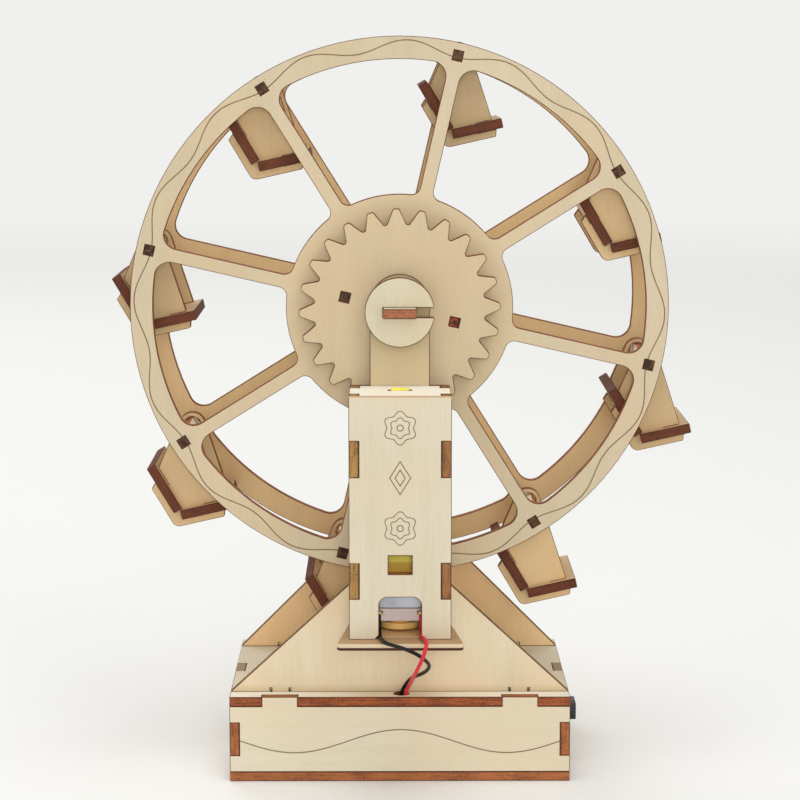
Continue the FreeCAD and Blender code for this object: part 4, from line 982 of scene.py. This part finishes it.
class FERRIS_OT_switch(bpy.types.Operator):
    """Finishes the rocker switch, marks its two positions and makes its rim"""
    bl_idname = "ferris.switch"
    bl_label = "Rocker switch"

    def execute(self, context):
        colours = kit().motor
        housing = moulded("switch_plastic", colours.switch, roughness=0.45).material
        dress("switch_body", housing, chamfer=0.25)
        self.rim(housing)
        dress("switch_rocker", self.marked_plastic(colours), chamfer=0.2)
        return {"FINISHED"}

    def marked_plastic(self, colours):
        """The rocker's plastic, with a bar for on and a circle for off."""
        finish = moulded("rocker_plastic", colours.switch, roughness=0.2, relief=0.005)
        offset = 2.1
        half_bar = 0.75
        radius = 0.7
        half_line = 0.12
        along = finish.y - middle_of("switch_rocker", 1)
        up = finish.z - middle_of("switch_rocker", 2)
        bar = (1 - abs(along + offset).over(half_line)) * (1 - abs(up).over(half_bar))
        circle = (apart(along - offset, up) - radius).line(half_line, 0.03)
        mark = bar.maths("MAXIMUM", circle) * finish.normal.facing(RIGHT, 0.6)
        return finish.set(base_color=finish.mix(finish.base_colour(), colours.mark, mark))

    def rim(self, material):
        """The raised rim of the switch, which stands round its rocker."""
        low, high = [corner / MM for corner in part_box("switch_body")]
        border = 0.75
        height = 2.1
        wall = 0.32
        rounding = 0.16
        rim = block("rim", (high.x, low.y + border, low.z + border),
                    (high.x + height, high.y - border, high.z - border))
        with editing(rim):
            open_through(RIGHT, wall)
            select_edges(lambda one, other: max(one.x, other.x) > high.x + NEAR)
            bpy.ops.mesh.bevel(offset=rounding * MM, segments=3)
        complete(rim, material, "stand")


class FERRIS_OT_battery(bpy.types.Operator):
    """Finishes the battery holder, its cells and its contact plates"""
    bl_idname = "ferris.battery"
    bl_label = "Battery pack"

    def execute(self, context):
        colours = kit().battery
        tray = moulded("holder_plastic", colours.holder, roughness=0.5).material
        dress("battery_holder", tray, chamfer=0.2)
        dress("battery_cells", self.sleeve(colours), chamfer=0.3)
        dress("battery_contacts", drawn_metal("contact_steel", colours.steel), chamfer=0.05)
        return {"FINISHED"}

    def sleeve(self, colours):
        """The cells' printed sleeve, with a copper band near both ends, and their steel ends."""
        finish = moulded("cell_sleeve", colours.sleeve, roughness=0.3, relief=0.004)
        offset = 18
        half_band = 1.6
        from_middle = abs(finish.x - middle_of("battery_cells", 0))
        band = (from_middle - offset).line(half_band)
        end = abs(finish.normal.along(RIGHT)).over(0.8)
        banded = finish.mix(finish.base_colour(), colours.band, band)
        return finish.set(base_color=finish.mix(banded, colours.steel, end), metallic=end)


def area_lamp(name, place, size, power):
    place = Vector(place)
    middle = Vector((0, 0, 0.11))
    turn = (middle - place).to_track_quat("-Z", "Y").to_euler()
    bpy.ops.object.light_add(type="AREA", location=place, rotation=turn)
    lamp = bpy.context.object
    lamp.name = name
    lamp.data.shape = "DISK"
    lamp.data.size = size
    lamp.data.energy = power


class FERRIS_OT_studio(bpy.types.Operator):
    """Lays a pale floor in pale surroundings, and sets soft lamps and the camera"""
    bl_idname = "ferris.studio"
    bl_label = "Studio"

    def execute(self, context):
        pale = kit().studio.backdrop
        bpy.ops.mesh.primitive_circle_add(vertices=96, radius=6, fill_type="NGON")
        floor = name_new("floor")
        floor.data.materials.append(self.floor_paint(pale))
        self.surroundings(context, pale)
        area_lamp("key_lamp", (0.8, -1.4, 1.4), size=1.1, power=6)
        area_lamp("front_lamp", (0.05, -1.6, 0.42), size=0.45, power=5.4)
        area_lamp("fill_lamp", (-1.3, -0.9, 0.9), size=1.2, power=3.5)
        area_lamp("top_lamp", (0.1, -0.3, 1.7), size=1.2, power=8)
        area_lamp("back_lamp", (-0.5, 1.4, 1.3), size=1.2, power=9)
        self.camera(context)
        return {"FINISHED"}

    def floor_paint(self, pale):
        finish = Finish("floor")
        finish.set(base_color=pale, roughness=0.8)
        far = apart(finish.x, finish.y).rise(500, 2600)
        paint = Signal(finish, finish.shader.outputs[0])
        glow = finish.add("ShaderNodeEmission", {}, {"Color": pale})
        mixed = finish.add("ShaderNodeMixShader", {}, {0: far, 1: paint, 2: glow})
        output = next(node for node in finish.nodes if node.type == "OUTPUT_MATERIAL")
        finish.feed(output.inputs[0], mixed)
        return finish.material

    def surroundings(self, context, pale):
        world = bpy.data.worlds.new("surroundings")
        world.use_nodes = True
        tree = world.node_tree
        tree.nodes.clear()
        rays = tree.nodes.new("ShaderNodeLightPath")
        seen = rays.outputs["Is Camera Ray"]
        for other in ("Is Glossy Ray", "Is Transmission Ray"):
            either = tree.nodes.new("ShaderNodeMath")
            either.operation = "MAXIMUM"
            tree.links.new(seen, either.inputs[0])
            tree.links.new(rays.outputs[other], either.inputs[1])
            seen = either.outputs[0]
        strength = tree.nodes.new("ShaderNodeMapRange")
        strength.inputs["To Min"].default_value = 0.6
        strength.inputs["To Max"].default_value = 1.0
        tree.links.new(seen, strength.inputs["Value"])
        glow = tree.nodes.new("ShaderNodeBackground")
        glow.inputs["Color"].default_value = pale
        tree.links.new(strength.outputs[0], glow.inputs["Strength"])
        output = tree.nodes.new("ShaderNodeOutputWorld")
        tree.links.new(glow.outputs[0], output.inputs[0])
        context.scene.world = world
        context.scene.view_settings.view_transform = "Standard"

    def camera(self, context):
        place = Vector((-3.872, -795.185, 225.994)) * MM
        turn = (radians(81.957), 0, radians(-0.296))
        bpy.ops.object.camera_add(location=place, rotation=turn)
        camera = context.object
        camera.name = "front_camera"
        camera.data.lens = 113.709
        camera.data.sensor_width = 36
        camera.data.clip_start = 0.01
        context.scene.camera = camera


class FERRIS_PG_kit(bpy.types.PropertyGroup):
    wood: bpy.props.PointerProperty(type=FERRIS_PG_wood)
    motor: bpy.props.PointerProperty(type=FERRIS_PG_motor)
    battery: bpy.props.PointerProperty(type=FERRIS_PG_battery)
    sizes: bpy.props.PointerProperty(type=FERRIS_PG_sizes)
    studio: bpy.props.PointerProperty(type=FERRIS_PG_studio)


OPERATORS = (
    FERRIS_OT_wires, FERRIS_OT_base, FERRIS_OT_frames, FERRIS_OT_tower, FERRIS_OT_wheel,
    FERRIS_OT_gondolas, FERRIS_OT_motor, FERRIS_OT_switch, FERRIS_OT_battery, FERRIS_OT_studio,
)


class FERRIS_PT_kit(bpy.types.Panel):
    bl_idname = "FERRIS_PT_kit"
    bl_label = "Ferris Wheel Kit"
    bl_space_type = "VIEW_3D"
    bl_region_type = "UI"
    bl_category = "Ferris Wheel"

    def draw(self, context):
        settings = context.scene.ferris_kit
        for group in (settings.wood, settings.motor, settings.battery, settings.sizes,
                      settings.studio):
            for name in group.bl_rna.properties.keys():
                if name not in ("rna_type", "name"):
                    self.layout.prop(group, name)
        for operator in OPERATORS:
            self.layout.operator(operator.bl_idname)


CLASSES = (
    FERRIS_PG_wood, FERRIS_PG_motor, FERRIS_PG_battery, FERRIS_PG_sizes, FERRIS_PG_studio,
    FERRIS_PG_kit, *OPERATORS, FERRIS_PT_kit,
)


def register():
    for item in CLASSES:
        bpy.utils.register_class(item)
    bpy.types.Scene.ferris_kit = bpy.props.PointerProperty(type=FERRIS_PG_kit)


def unregister():
    """Takes them out again."""
    del bpy.types.Scene.ferris_kit
    for item in reversed(CLASSES):
        bpy.utils.unregister_class(item)


def main():
    """Dresses the whole kit."""
    register()
    for operator in OPERATORS:
        group, name = operator.bl_idname.split(".")
        getattr(getattr(bpy.ops, group), name)()


if __name__ == "__main__":
    main()
